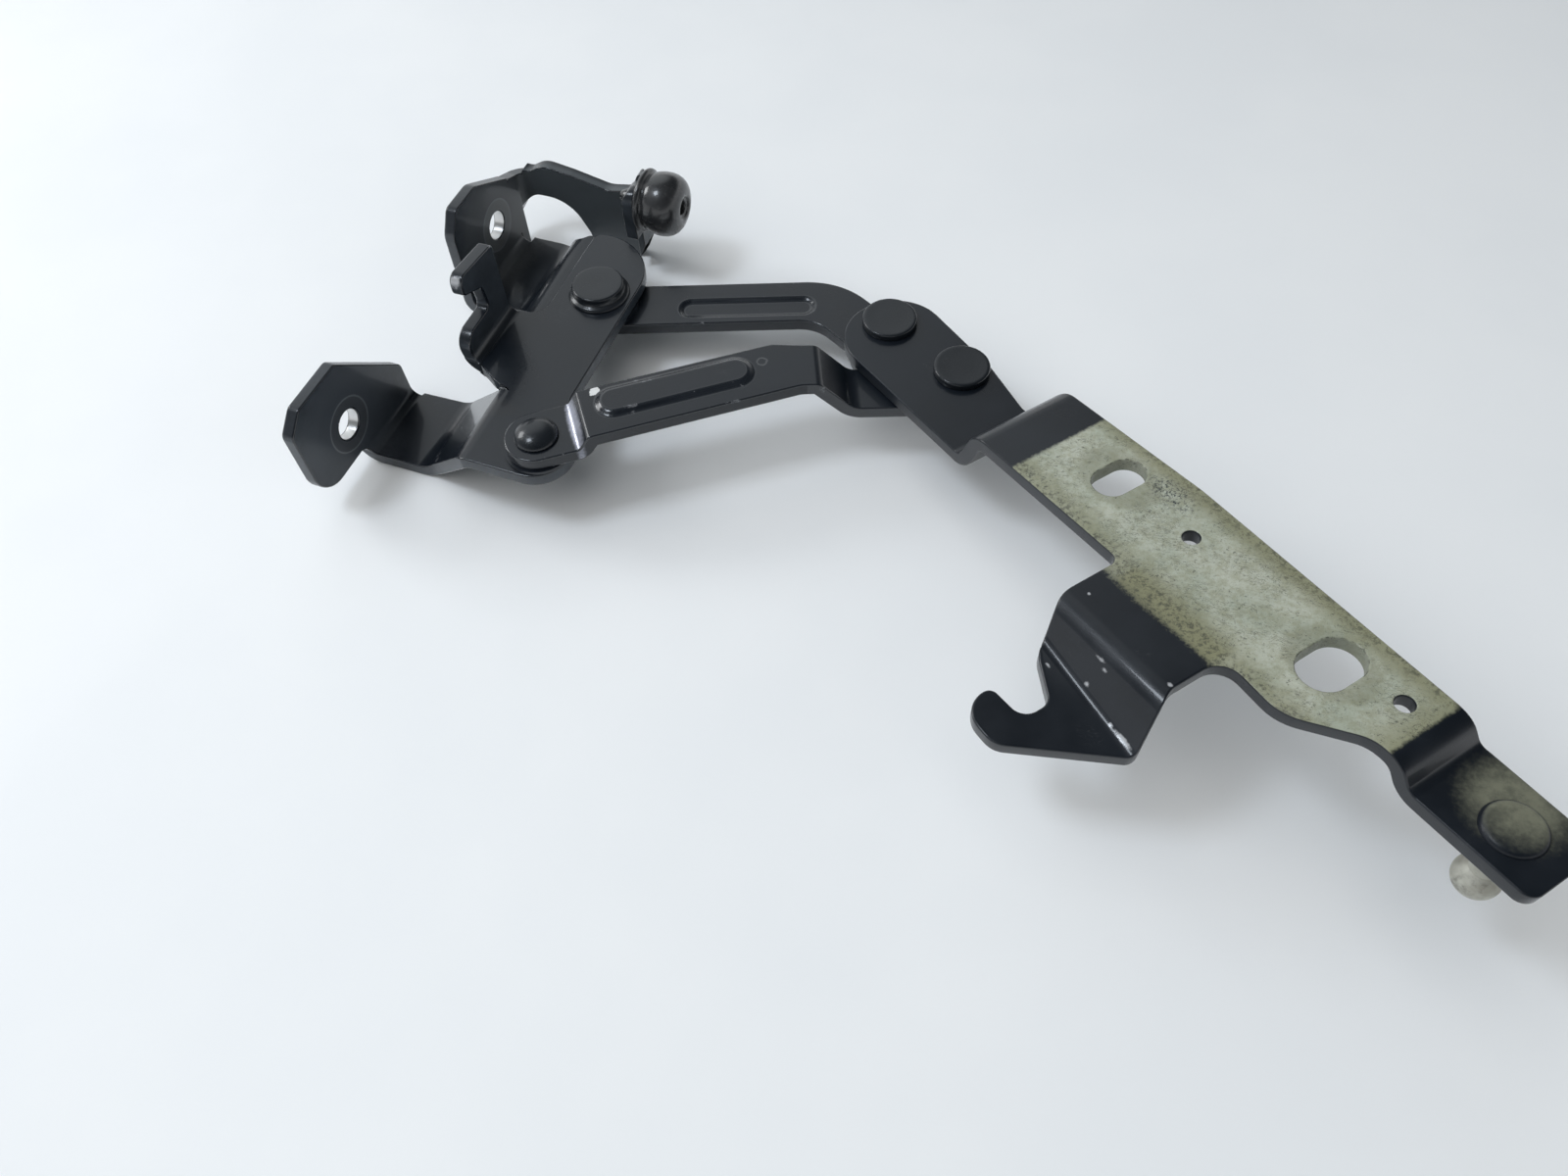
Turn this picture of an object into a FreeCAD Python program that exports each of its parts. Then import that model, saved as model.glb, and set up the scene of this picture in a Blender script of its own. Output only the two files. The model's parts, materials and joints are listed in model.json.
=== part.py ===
"""Bonnet hinge: a pressed-steel four-bar linkage on four upright rivets.

Drawing frame: Z runs along the rivets and the origin is the front body rivet, at the
top face of the body bracket's web. X points from the two bolted tabs to the links.
The parts are written in the same axes with the origin moved to the front bolt hole,
on the seating face of its tab. All sizes are in millimetres.
"""
import FreeCAD, Part
import math
import os

V = FreeCAD.Vector

# ---- driving sizes: sheet and pivots --------------------------------------
SHEET = 4.0                      # thickness of every stamping
REAR_BODY_PIVOT = (-10.7, 61.9)  # from the front body pivot, which is the origin
REAR_HOOD_PIVOT = (78.6, 72.4)
FRONT_HOOD_PIVOT = (103.5, 60.1)

# ---- rivets, bushes and washers -------------------------------------------
SHANK_R = 3.6
BUSH_WALL = 1.2
RUNNING_GAP = 0.08               # radial, between a shank and the bush that turns on it
PRESS_GAP = 0.01                 # radial, where a piece is pressed or riveted fast
HEAD_R = 7.95
HEAD_RISE = 2.2                  # flat heads on the hood bracket
CLOSING_R = 6.4                  # closed-up ends below the links
CLOSING_RISE = 2.4
DOME_R = 6.2
DOME_RISE = 3.2
COLLAR_R = 9.4
WASHER_R = 9.8
REAR_WASHER_R = 11.3
WASHER = 1.0                     # thickness of the washers between sheets
OPEN_PIVOT_SLACK = 4.95          # radial room around the sleeve in the rear link's loose eye
SLEEVE_WALL = 0.6
FOOT_R = 10.8
RETAINER_R = 11.6

# ---- body bracket ----------------------------------------------------------
WEB_EDGE_X = 0.0                 # right edge of the web
WEB_NEAR_Y = -10.4
LOBE_R = 19.0                    # round end of the web past the rear pivot
LOBE_TOP_Y = 87.4
WEB_LEFT_X = -23.6
TONGUE_R = 10.8                  # round end of the web about the front pivot
RAMP_TOP_X = -20.5
FLOOR_Z = -18.0                  # top face of the trough between web and tabs
RAMP_RUN = 19.0
TAB_X = -58.5                    # inner face of both tabs
TAB_ROLL = 1.0                   # rounding along the outer face's edges
BOLT_R = 4.5
BOLT_Z = -3.1
FRONT_BOLT_Y = -7.0
REAR_BOLT_Y = 84.1
TAB_RISE = 19.6                  # top edge of the front tab above its bolt
LIP_X = -33.5                    # inner face of the upright lip and its hook
LIP_RISE = 9.0
HOOK_TOP = 26.8
BEND_IN = 3.0                    # inside radius of a sharp bend
BEND_OUT = 7.0                   # outside radius of a wide bend

# ---- rear arm of the body bracket -----------------------------------------
ARM_RAMP_X = -32.0               # top of the arm's ramp; right of it the arm lies under the web
ARM_RAMP_RUN = 8.3
ARM_NEAR_Y = 58.0
ARM_FAR_Y = 98.0
WALL_CORNER = 8.0                # outside radius between the rear tab and the rear wall
WALL_Y = 104.0                   # near face of the rear wall
STOP_PLATE_X = -12.0             # face that carries the rubber stop
STOP_BEND = 5.0                  # outside radius where the wall turns into the stop plate
STOP_CENTRE = (100.6, 5.4)       # y, z of the stop's axis
STOP_R = 9.9
STOP_LENGTH = 14.3
STOP_STEM_R = 2.4
STOP_BEAD_R = 2.8

# ---- links ------------------------------------------------------------------
FRONT_WIDTH = 18.0
FRONT_ELBOW = (60.0, 44.6)
FRONT_STEP_UP = (10.4, 13.4)     # start and end of the step, from the body pivot
FRONT_ARM_TOP = 9.0
RIB_RISE = 1.1
FRONT_STEP_DOWN_RUN = 9.5
REAR_WIDTH = 17.3
REAR_ELBOW = (55.2, 85.55)
REAR_ARM_TOP = -5.3
REAR_EYE_R = 11.9
GROOVE_DEPTH = 0.9

# ---- hood bracket -----------------------------------------------------------
HOOD_ORIGIN = (122.8, 37.85)     # where the flange starts, in plan
HOOD_AZIMUTH = -39.2
HOOD_TILT = 6.15                 # rise of the flange along its length, degrees
FLANGE_START_Z = 16.65
FLANGE_LENGTH = 156.8
END_STEP = 6.0                   # the far end sits this much lower
END_STEP_START = 124.5
END_STEP_RUN = 4.6
HOOK_PLATE_TOP = 15.0
EAR_SLOPE = 52.0
EAR_AZIMUTH = -42.5
LOCATING_R = 2.1
LOCATING_HOLES = ((57.4, 6.4), (115.1, 9.9))        # along and across the flange
SLOTS = (((33.2, 5.8), 14.2, 9.4), ((100.1, 5.4), 15.8, 11.4))
BALL_R = 5.0
BALL_AT = (145.0, 8.5)           # along and across the flange
BALL_DROP = 16.0                 # ball centre below the far end's underside

WEB_TOP = 0.0
WEB_BOTTOM = WEB_TOP - SHEET
HOOD_BOTTOM = WEB_TOP
HOOD_TOP = HOOD_BOTTOM + SHEET
EYE_R = SHANK_R + RUNNING_GAP + BUSH_WALL + PRESS_GAP


# ---- helpers ----------------------------------------------------------------
def plan(z):
    """Return a map from (x, y) to a point at height z."""
    return lambda a, b: V(a, b, z)


def side(x):
    """Return a map from (y, z) to a point at x."""
    return lambda a, b: V(x, a, b)


def profile(y):
    """Return a map from (x, z) to a point at y."""
    return lambda a, b: V(a, y, b)


def rounded_edges(corners, place, closed=True):
    """Return edges through corners (a, b, radius) with tangent arcs at the corners."""
    count = len(corners)
    points = [FreeCAD.Vector(a, b, 0) for a, b, _ in corners]
    trims = []
    for i, (_, _, radius) in enumerate(corners):
        if radius <= 0 or (not closed and i in (0, count - 1)):
            trims.append(0.0)
            continue
        before = points[i - 1] - points[i]
        after = points[(i + 1) % count] - points[i]
        turn = math.pi - before.getAngle(after)
        trims.append(radius * math.tan(turn / 2))
    spans = count if closed else count - 1
    scale = [1.0] * count
    for i in range(spans):
        j = (i + 1) % count
        length = (points[j] - points[i]).Length
        need = trims[i] + trims[j]
        if need > length * 0.98:
            scale[i] = min(scale[i], length * 0.98 / need)
            scale[j] = min(scale[j], length * 0.98 / need)
    edges = []
    ends = []
    arcs = []
    for i in range(count):
        trim = trims[i] * scale[i]
        if trim == 0:
            ends.append((points[i], points[i]))
            arcs.append(None)
            continue
        before = (points[i - 1] - points[i]).normalize()
        after = (points[(i + 1) % count] - points[i]).normalize()
        half = before.getAngle(after) / 2
        radius = trim * math.tan(half)
        middle = (before + after).normalize() * (trim / math.cos(half) - radius)
        ends.append((points[i] + before * trim, points[i] + after * trim))
        arcs.append(points[i] + middle)
    for i in range(count):
        start, stop = ends[i]
        if arcs[i] is not None:
            flat = (place(start.x, start.y), place(arcs[i].x, arcs[i].y), place(stop.x, stop.y))
            edges.append(Part.Arc(*flat).toShape())
        if i < spans:
            follow = ends[(i + 1) % count][0]
            if (follow - stop).Length > 1e-6:
                edges.append(Part.makeLine(place(stop.x, stop.y), place(follow.x, follow.y)))
    return edges


def slab(corners, place, sweep):
    """Return a rounded outline swept into a solid."""
    wire = Part.Wire(rounded_edges(corners, place))
    return Part.Face(wire).extrude(sweep)


def plate(corners, low, high):
    """Return a flat plate with a plan outline between two heights."""
    return slab(corners, plan(low), V(0, 0, high - low))


def disc(centre, radius, low, high):
    """Return an upright cylinder."""
    return Part.makeCylinder(radius, high - low, V(centre[0], centre[1], low))


def offset_line(points, distance):
    """Return a polyline moved sideways, to the right of its direction."""
    moved = []
    for i, (a, b, _) in enumerate(points):
        normals = []
        for j in (i - 1, i):
            if 0 <= j < len(points) - 1:
                da = points[j + 1][0] - points[j][0]
                db = points[j + 1][1] - points[j][1]
                length = math.hypot(da, db)
                normals.append((db / length, -da / length))
        na = sum(n[0] for n in normals)
        nb = sum(n[1] for n in normals)
        size = (na * na + nb * nb) / len(normals)
        moved.append((a + distance * na / size, b + distance * nb / size))
    return moved


def bent_sheet(points, place, sweep, thickness=SHEET):
    """Return a folded sheet: a profile line with bend radii, thickened to its right."""
    moved = offset_line(points, thickness)
    under = []
    for i, (a, b) in enumerate(moved):
        radius = points[i][2]
        if radius and 0 < i < len(points) - 1:
            ax, ay = points[i][0] - points[i - 1][0], points[i][1] - points[i - 1][1]
            bx, by = points[i + 1][0] - points[i][0], points[i + 1][1] - points[i][1]
            turns_right = ax * by - ay * bx < 0
            radius = max(radius - thickness, 0.4) if turns_right else radius + thickness
        under.append((a, b, radius))
    loop = list(points) + under[::-1]
    return slab(loop, place, sweep)


def placed(shape, origin, azimuth):
    """Return a shape turned about Z and moved in plan."""
    moved = shape.copy()
    moved.rotate(V(0, 0, 0), V(0, 0, 1), azimuth)
    moved.translate(V(origin[0], origin[1], 0))
    return moved


def joined(shapes):
    """Return one solid from touching shapes, with flush faces merged."""
    result = shapes[0].multiFuse(shapes[1:]) if len(shapes) > 1 else shapes[0]
    return result.removeSplitter()


# ---- body bracket -------------------------------------------------------------
def web():
    """Flat web with a tongue at the front pivot and a round lobe at the rear one."""
    corners = [
        (RAMP_TOP_X + 3.1, WEB_NEAR_Y, 0),
        (TONGUE_R - 1.3, WEB_NEAR_Y - 0.4, TONGUE_R - 0.2),
        (TONGUE_R - 1.3, 9.5, 7),
        (WEB_EDGE_X, 17, 8),
        (WEB_EDGE_X, LOBE_TOP_Y, LOBE_R),
        (WEB_LEFT_X, LOBE_TOP_Y, 3),
        (WEB_LEFT_X, 48, 5),
        (LIP_X + 1, 48, 0),
        (LIP_X + 1, 24, 0),
        (-24.8, 19.2, 1),
        (RAMP_TOP_X + 3.1, 17.9, 0),
    ]
    return plate(corners, WEB_BOTTOM, WEB_TOP)


def soft_faced(outline):
    """Return a tab's outline swept inwards, its outer face edges rolled over."""
    block = slab(outline, side(TAB_X - SHEET), V(SHEET + BEND_IN, 0, 0))
    rim = [e for e in block.Edges if e.BoundBox.XMax < TAB_X - SHEET + 0.01]
    return block.makeFillet(TAB_ROLL, rim)


def front_trough():
    """Ramp, trough and front tab, bent from one strip and cut to outline."""
    line = [
        (0, WEB_TOP, 0),
        (RAMP_TOP_X, WEB_TOP, BEND_OUT),
        (RAMP_TOP_X - RAMP_RUN, FLOOR_Z, BEND_OUT),
        (TAB_X, FLOOR_Z, BEND_IN),
        (TAB_X, BOLT_Z + TAB_RISE + 5, 0),
    ]
    strip = bent_sheet([(a, b, r) for a, b, r in line[::-1]], profile(-35), V(0, 70, 0))
    run = [
        (-16, WEB_NEAR_Y, 0),
        (RAMP_TOP_X + 0.6, WEB_NEAR_Y, 3),
        (RAMP_TOP_X - 16, -4.8, 10),
        (TAB_X - 9, -4.8, 0),
        (TAB_X - 9, 21.6, 0),
        (-38, 22.4, 10),
        (-24.8, 18.6, 1),
        (-16, 17.8, 0),
    ]
    floor = strip.common(plate(run, -40, 2))
    y, z = FRONT_BOLT_Y, BOLT_Z
    outline = [
        (y - 19.7, z - 11.6, 9),
        (y - 19.7, z + TAB_RISE - 5.2, 3),
        (y - 13.2, z + TAB_RISE, 3),
        (y + 4.6, z + TAB_RISE, 2),
        (y + 27.6, z - 2.4, 3),
        (y + 28.6, z - 40, 0),
        (y + 2.2, z - 40, 0),
        (y + 2.2, z - 11.6, 3),
    ]
    keep = soft_faced(outline)
    tab = strip.common(keep)
    rest = floor.cut(Part.makeBox(40, 90, 60, V(TAB_X + BEND_IN - 40, -45, -30)))
    bolt = Part.makeCylinder(BOLT_R, 20, V(TAB_X - 10, y, z), V(1, 0, 0))
    return joined([rest, tab]).cut(bolt)


def hooked_lip():
    """Upright lip on the web's left edge, with the catch hook standing up from it."""
    line = [(LIP_X, HOOK_TOP + 4, 0), (LIP_X, WEB_TOP, 3.5), (-15, WEB_TOP, 0)]
    strip = bent_sheet(line, profile(10), V(0, 45, 0))
    run = [(-15, 16, 0), (-24.8, 19.2, 1), (-30, 23.2, 3), (-42, 24, 0), (-42, 48, 0), (-15, 48, 0)]
    edge = 47.3
    neck = 38.0
    outline = [
        (14, -10, 0),
        (14, 0.2, 0),
        (24.0, 0.2, 1),
        (24.0, LIP_RISE, 5),
        (neck, LIP_RISE, 2.0),
        (neck - 0.8, 16.8, 1.5),
        (29.0, 20.6, 1.5),
        (29.3, HOOK_TOP, 3),
        (edge, HOOK_TOP - 2, 1.5),
        (edge, -1, 0),
        (50, -1, 0),
        (50, -10, 0),
    ]
    keep = slab(outline, side(LIP_X - 8), V(30, 0, 0))
    return strip.common(plate(run, -10, 40)).common(keep)


def body_bracket():
    """Main stamping: web, front tab and hooked lip."""
    whole = joined([web(), front_trough(), hooked_lip()])
    for centre in ((0, 0), REAR_BODY_PIVOT):
        whole = whole.cut(disc(centre, SHANK_R + PRESS_GAP, WEB_BOTTOM - 1, WEB_TOP + 1))
    return whole


def arm_strip():
    """Lap under the web, ramp, trough and rear tab of the second stamping."""
    line = [
        (TAB_X, BOLT_Z + 28, 0),
        (TAB_X, FLOOR_Z, BEND_IN),
        (ARM_RAMP_X - ARM_RAMP_RUN, FLOOR_Z, BEND_OUT),
        (ARM_RAMP_X, WEB_BOTTOM, BEND_OUT),
        (0, WEB_BOTTOM, 0),
    ]
    strip = bent_sheet(line, profile(20), V(0, 95, 0))
    run = [
        (TAB_X - 9, ARM_NEAR_Y, 0),
        (-45, ARM_NEAR_Y, 8),
        (-30.5, 50, 4),
        (-29.5, 27, 3),
        (-10, 27, 3),
        (-10, 48.6, 3),
        (-20, 52.6, 4),
        (-24.3, ARM_NEAR_Y, 3),
        (-24.3, 68, 3),
        (-20.5, 73, 3),
        (-20.5, ARM_FAR_Y - 9, 2),
        (-27.5, ARM_FAR_Y - 8, 2),
        (-31, ARM_FAR_Y - 11.3, 3),
        (-42, ARM_FAR_Y, 8),
        (-55, ARM_FAR_Y, 8),
        (TAB_X - 1, ARM_FAR_Y + 1.5, 0),
        (TAB_X - 9, ARM_FAR_Y + 1.5, 0),
    ]
    floor = strip.common(plate(run, -40, 2))
    u, z = REAR_BOLT_Y, BOLT_Z
    outline = [
        (u - 24, z - 40, 0),
        (u - 22.5, z + 12, 6),
        (u - 17.5, z + 19.2, 3),
        (u - 5.5, z + 19.2, 6),
        (u + 11.5, z + 10.0, 0),
        (u + 11.5, z - 40, 0),
    ]
    keep = soft_faced(outline)
    tab = strip.common(keep)
    rest = floor.cut(Part.makeBox(40, 90, 60, V(TAB_X + BEND_IN - 40, 15, -30)))
    bolt = Part.makeCylinder(BOLT_R, 20, V(TAB_X - 10, u, z), V(1, 0, 0))
    return joined([rest, tab]).cut(bolt)


def rear_wall():
    """Upright wall folded from the rear tab and turned back to carry the stop."""
    y, z = STOP_CENTRE
    low = z - STOP_R
    out = TAB_X - SHEET
    back = WALL_Y + SHEET
    line = [
        (out, REAR_BOLT_Y + 11.5, 0),
        (out, back, WALL_CORNER),
        (STOP_PLATE_X, back, STOP_BEND),
        (STOP_PLATE_X, y - 12, 0),
    ]
    strip = bent_sheet(line, plan(FLOOR_Z - SHEET), V(0, 0, 60))
    outline = [
        (out - 1, FLOOR_Z - SHEET, 0),
        (out - 1, 12, 0),
        (out + 6, 3.4, 3),
        (-50, 7.4, 8),
        (-40, 5.8, 20),
        (-27, 2.9, 8),
        (-18.5, 4.4, 5),
        (-14.5, 12.5, 3),
        (STOP_PLATE_X + 1, 12.5, 0),
        (STOP_PLATE_X + 1, low, 0),
        (-13.6, low, 0),
        (-13.6, -13, 7),
        (-18, FLOOR_Z - SHEET, 5),
    ]
    wall = strip.common(slab(outline, profile(y - 20), V(0, 60, 0)))
    nose = [
        (y - 8, low, 0),
        (y - 8, 12.5, 5),
        (y - 3, 12.5, 3),
        (back + 1, 7.2, 0),
        (back + 1, FLOOR_Z - 9, 0),
        (WALL_Y - 4.9, FLOOR_Z - 9, 0),
        (WALL_Y - 4.9, low, 0),
    ]
    turned = slab(nose, side(-40), V(60, 0, 0))
    plain = Part.makeBox(30, 40, 60, V(out - 1, y - 20, -30))
    wall = wall.common(turned.fuse(plain).fuse(Part.makeBox(40, 5, 60, V(-50, WALL_Y - 0.5, -30))))
    crown = [(y - 12, BOLT_Z + 12.2, 0), (y + 0.5, BOLT_Z + 7.4, 4), (back + 1, BOLT_Z + 5.6, 0),
             (back + 1, 30, 0), (y - 12, 30, 0)]
    wall = wall.cut(slab(crown, side(out - 1), V(SHEET + 2, 0, 0)))
    arch = [(out - 0.8, -30, 0), (out - 0.8, -15.5, 5), (-57, -4.8, 8), (-42.5, -4.8, 12),
            (-36.4, -17, 6), (-36.4, -30, 0)]
    return wall.cut(slab(arch, profile(ARM_FAR_Y + 2), V(0, 20, 0)))


def rear_arm():
    """Second stamping: rear tab, trough, rear wall and stop plate."""
    whole = joined([arm_strip(), rear_wall()])
    y, z = STOP_CENTRE
    stem = Part.makeCylinder(STOP_STEM_R, 20, V(STOP_PLATE_X - 10, y, z), V(1, 0, 0))
    return whole.cut(stem)


def bump_stop():
    """Rubber buffer with a bulging body and a stem snapped through the stop plate."""
    y, z = STOP_CENTRE
    x = STOP_PLATE_X
    r = STOP_R
    back = x - SHEET
    end = x + STOP_LENGTH
    edges = [
        Part.makeLine(V(back - 4, 0, 0), V(back - 4, 0, 1.6)),
        Part.makeLine(V(back - 4, 0, 1.6), V(back - 0.7, 0, STOP_BEAD_R)),
        Part.makeLine(V(back - 0.7, 0, STOP_BEAD_R), V(back, 0, STOP_STEM_R - PRESS_GAP)),
        Part.makeLine(V(back, 0, STOP_STEM_R - PRESS_GAP), V(x, 0, STOP_STEM_R - PRESS_GAP)),
        Part.makeLine(V(x, 0, STOP_STEM_R - PRESS_GAP), V(x, 0, r - 0.6)),
        Part.Arc(V(x, 0, r - 0.6), V(x + 1.2, 0, r), V(x + 2.4, 0, r - 0.7)).toShape(),
        Part.makeLine(V(x + 2.4, 0, r - 0.7), V(x + 3.0, 0, r - 1.2)),
        Part.Arc(V(x + 3.0, 0, r - 1.2), V(x + 8, 0, r), V(end - 1.4, 0, r - 1.6)).toShape(),
        Part.Arc(V(end - 1.4, 0, r - 1.6), V(end - 0.3, 0, r - 2.6), V(end, 0, r - 4)).toShape(),
        Part.makeLine(V(end, 0, r - 4), V(end, 0, 3.6)),
        Part.makeLine(V(end, 0, 3.6), V(end - 0.8, 0, 3.2)),
        Part.makeLine(V(end - 0.8, 0, 3.2), V(end - 0.8, 0, 2.2)),
        Part.makeLine(V(end - 0.8, 0, 2.2), V(end - 7, 0, 2.2)),
        Part.makeLine(V(end - 7, 0, 2.2), V(end - 7, 0, 0)),
        Part.makeLine(V(end - 7, 0, 0), V(back - 4, 0, 0)),
    ]
    body = Part.Face(Part.Wire(edges)).revolve(V(0, 0, 0), V(1, 0, 0), 360)
    body.translate(V(0, y, z))
    return body


# ---- links --------------------------------------------------------------------
def azimuth_of(start, stop):
    """Return the plan direction between two points, in degrees."""
    return math.degrees(math.atan2(stop[1] - start[1], stop[0] - start[0]))


def beside(point, azimuth, along, across):
    """Return a plan point moved along and across a direction."""
    c = math.cos(math.radians(azimuth))
    s = math.sin(math.radians(azimuth))
    return (point[0] + along * c - across * s, point[1] + along * s + across * c)


def link_outline(start, elbow, stop, half, start_r, stop_r, outer_r, inner_r, bend):
    """Return the plan outline of a link that turns once; bend is -1 for a right turn."""
    first = azimuth_of(start, elbow)
    second = azimuth_of(elbow, stop)
    mean = (first + second) / 2
    miter = half / math.cos(math.radians((second - first) / 2))
    left = beside(elbow, mean, 0, miter)
    right = beside(elbow, mean, 0, -miter)
    corners = [
        beside(start, first, -start_r, half) + (start_r,),
        beside(start, first, -start_r, -half) + (start_r,),
        right + (inner_r if bend < 0 else outer_r,),
        beside(stop, second, stop_r, -half) + (stop_r,),
        beside(stop, second, stop_r, half) + (stop_r,),
        left + (outer_r if bend < 0 else inner_r,),
    ]
    return corners


def stepped_band(origin, azimuth, line, width):
    """Return a bent strip laid along a plan direction."""
    strip = bent_sheet(line, profile(-width), V(0, 2 * width, 0))
    return placed(strip, origin, azimuth)


def half_plane(origin, azimuth, forward):
    """Return a large block on one side of a line square to a plan direction."""
    block = Part.makeBox(300, 600, 200, V(0 if forward else -300, -300, -100))
    return placed(block, origin, azimuth)


def rib_pad(length, half, rise, flare):
    """Return a raised bead with sloping flanks, lying along X on the plane z = 0."""
    lower = Part.Wire(rounded_edges(
        [(0, -half, half * 0.95), (length, -half, half * 0.95), (length, half, half * 0.95),
         (0, half, half * 0.95)], plan(0)))
    small = half - flare
    upper = Part.Wire(rounded_edges(
        [(flare, -small, small * 0.95), (length - flare, -small, small * 0.95),
         (length - flare, small, small * 0.95), (flare, small, small * 0.95)], plan(rise)))
    return Part.makeLoft([lower, upper], True)


def front_link():
    """Main link: low at the body rivet, high along the arm, low again under the hood bracket."""
    body = (0, 0)
    low = WEB_TOP + WASHER + SHEET
    under = HOOD_BOTTOM - WASHER
    first = azimuth_of(body, FRONT_ELBOW)
    second = azimuth_of(FRONT_ELBOW, FRONT_HOOD_PIVOT)
    up0, up1 = FRONT_STEP_UP
    near = [(-20, low, 0), (up0, low, 2), (up1, FRONT_ARM_TOP, 2), (90, FRONT_ARM_TOP, 0)]
    far = [
        (-40, FRONT_ARM_TOP, 0),
        (0, FRONT_ARM_TOP, 3),
        (FRONT_STEP_DOWN_RUN, under, 5),
        (70, under, 0),
    ]
    down = beside(FRONT_ELBOW, second, 5.8, 0)
    half = FRONT_WIDTH / 2
    outline = link_outline(body, FRONT_ELBOW, FRONT_HOOD_PIVOT, half, half, half, 14, 10, -1)
    waist = [(50.6, 48.9, 6), (57.8, 50.9, 8), (70.5, 55.0, 12)]
    outline[5:] = waist[::-1]
    blank = plate(outline, -20, 20)
    split = beside(body, first, 45, 0)
    a = stepped_band(body, first, near, 30).common(half_plane(split, first, False)).common(blank)
    b = stepped_band(down, second + 4, far, 30).common(half_plane(split, first, True)).common(blank)
    link = joined([a, b])
    pad = rib_pad(45, 5.6, RIB_RISE, 1.6)
    pad.translate(V(17.5, 1.6, FRONT_ARM_TOP - 0.001))
    groove = rib_pad(45, 4.2, RIB_RISE, 1.6)
    groove.translate(V(17.5, 1.6, FRONT_ARM_TOP - SHEET - 0.001))
    link = link.fuse(placed(pad, body, first)).cut(placed(groove, body, first))
    for centre in (body, FRONT_HOOD_PIVOT):
        link = link.cut(disc(centre, EYE_R, -30, 30))
    return link


def rear_link():
    """Second link: flat, cranked in plan, with a shallow pressed groove."""
    first = azimuth_of(REAR_BODY_PIVOT, REAR_ELBOW)
    under = REAR_ARM_TOP - SHEET
    half = REAR_WIDTH / 2
    outline = link_outline(REAR_BODY_PIVOT, REAR_ELBOW, REAR_HOOD_PIVOT, half, half, 6, 24, 12, -1)
    link = plate(outline, under, REAR_ARM_TOP).fuse(disc(REAR_HOOD_PIVOT, REAR_EYE_R, under, REAR_ARM_TOP))
    groove = rib_pad(42, 4.0, GROOVE_DEPTH, 1.3)
    groove.rotate(V(0, 0, 0), V(1, 0, 0), 180)
    groove.translate(V(24, -2.0, REAR_ARM_TOP + 0.001))
    bead = rib_pad(42, 5.0, GROOVE_DEPTH, 1.3)
    bead.rotate(V(0, 0, 0), V(1, 0, 0), 180)
    bead.translate(V(24, -2.0, under + 0.001))
    link = link.fuse(placed(bead, REAR_BODY_PIVOT, first))
    link = link.cut(placed(groove, REAR_BODY_PIVOT, first))
    link = link.cut(disc(REAR_BODY_PIVOT, EYE_R, -30, 10))
    loose = SHANK_R + PRESS_GAP + SLEEVE_WALL + OPEN_PIVOT_SLACK
    return link.cut(disc(REAR_HOOD_PIVOT, loose, -30, 10)).removeSplitter()


# ---- hood bracket ---------------------------------------------------------------
def flange_height(s):
    """Return the height of the flange's top face at a distance along it."""
    return FLANGE_START_Z + s * math.tan(math.radians(HOOD_TILT))


def hood_strip():
    """Pivot plate, raised flange and lowered far end, as one folded strip."""
    after = END_STEP_START + END_STEP_RUN
    line = [
        (-90, HOOD_TOP, 0),
        (-4.4, HOOD_TOP, BEND_IN),
        (0.4, flange_height(0.4), BEND_OUT),
        (END_STEP_START, flange_height(END_STEP_START), BEND_OUT),
        (after, flange_height(after) - END_STEP, BEND_IN),
        (FLANGE_LENGTH + 20, flange_height(FLANGE_LENGTH + 20) - END_STEP, 0),
    ]
    strip = bent_sheet(line, profile(-80), V(0, 130, 0))
    outline = [
        (-65.3, -18.8, 14.5),
        (-7.0, -13.9, 0),
        (50.9, -11.6, 1.5),
        (54, -11.6, 0),
        (86, -11.6, 0),
        (103.5, -12.4, 12),
        (117.6, -1.6, 8),
        (FLANGE_LENGTH, -1.0, 3),
        (FLANGE_LENGTH, 19.0, 3),
        (131, 19.1, 8),
        (122, 18.5, 8),
        (48, 18.9, 90),
        (1, 15.6, 5),
        (-7, 10.6, 6),
        (-26, 12.9, 30),
        (-65.3, 11.8, 14.5),
    ]
    return strip.common(plate(outline, -10, 60))


def ear_frame(shape):
    """Return a shape turned from the ear's own direction to the bracket's."""
    return placed(shape, (75, -36.8), EAR_AZIMUTH - HOOD_AZIMUTH)


def hook_ear():
    """Sloping ear below the flange and the level J-shaped catch at its foot."""
    slope = math.radians(EAR_SLOPE)
    climb = 26.0
    line = [
        (-60, HOOK_PLATE_TOP, 0),
        (0, HOOK_PLATE_TOP, BEND_IN),
        (climb * math.cos(slope), HOOK_PLATE_TOP + climb * math.sin(slope), 0),
    ]
    strip = bent_sheet(line, side(-60), V(120, 0, 0))
    outline = [
        (53.2, -8, 0),
        (53.2, -28, 10),
        (60.5, -39.2, 8),
        (71.8, -44.6, 3.4),
        (71.8, -51.8, 4),
        (61.7, -53.0, 3),
        (61.9, -61.7, 8),
        (73.4, -61.2, 6),
        (92.2, -37.6, 3),
        (86.6, -26, 6),
        (86.6, -8, 0),
    ]
    return ear_frame(strip).common(plate(outline, 0, 60)), plate(outline, 0, 60)


def under_flange():
    """Return the space below the flange's top face, in the bracket's frame."""
    line = [(-20, flange_height(-20), 0), (170, flange_height(170), 0), (170, -60, 0), (-20, -60, 0)]
    return slab(line, profile(-90), V(0, 140, 0))


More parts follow.
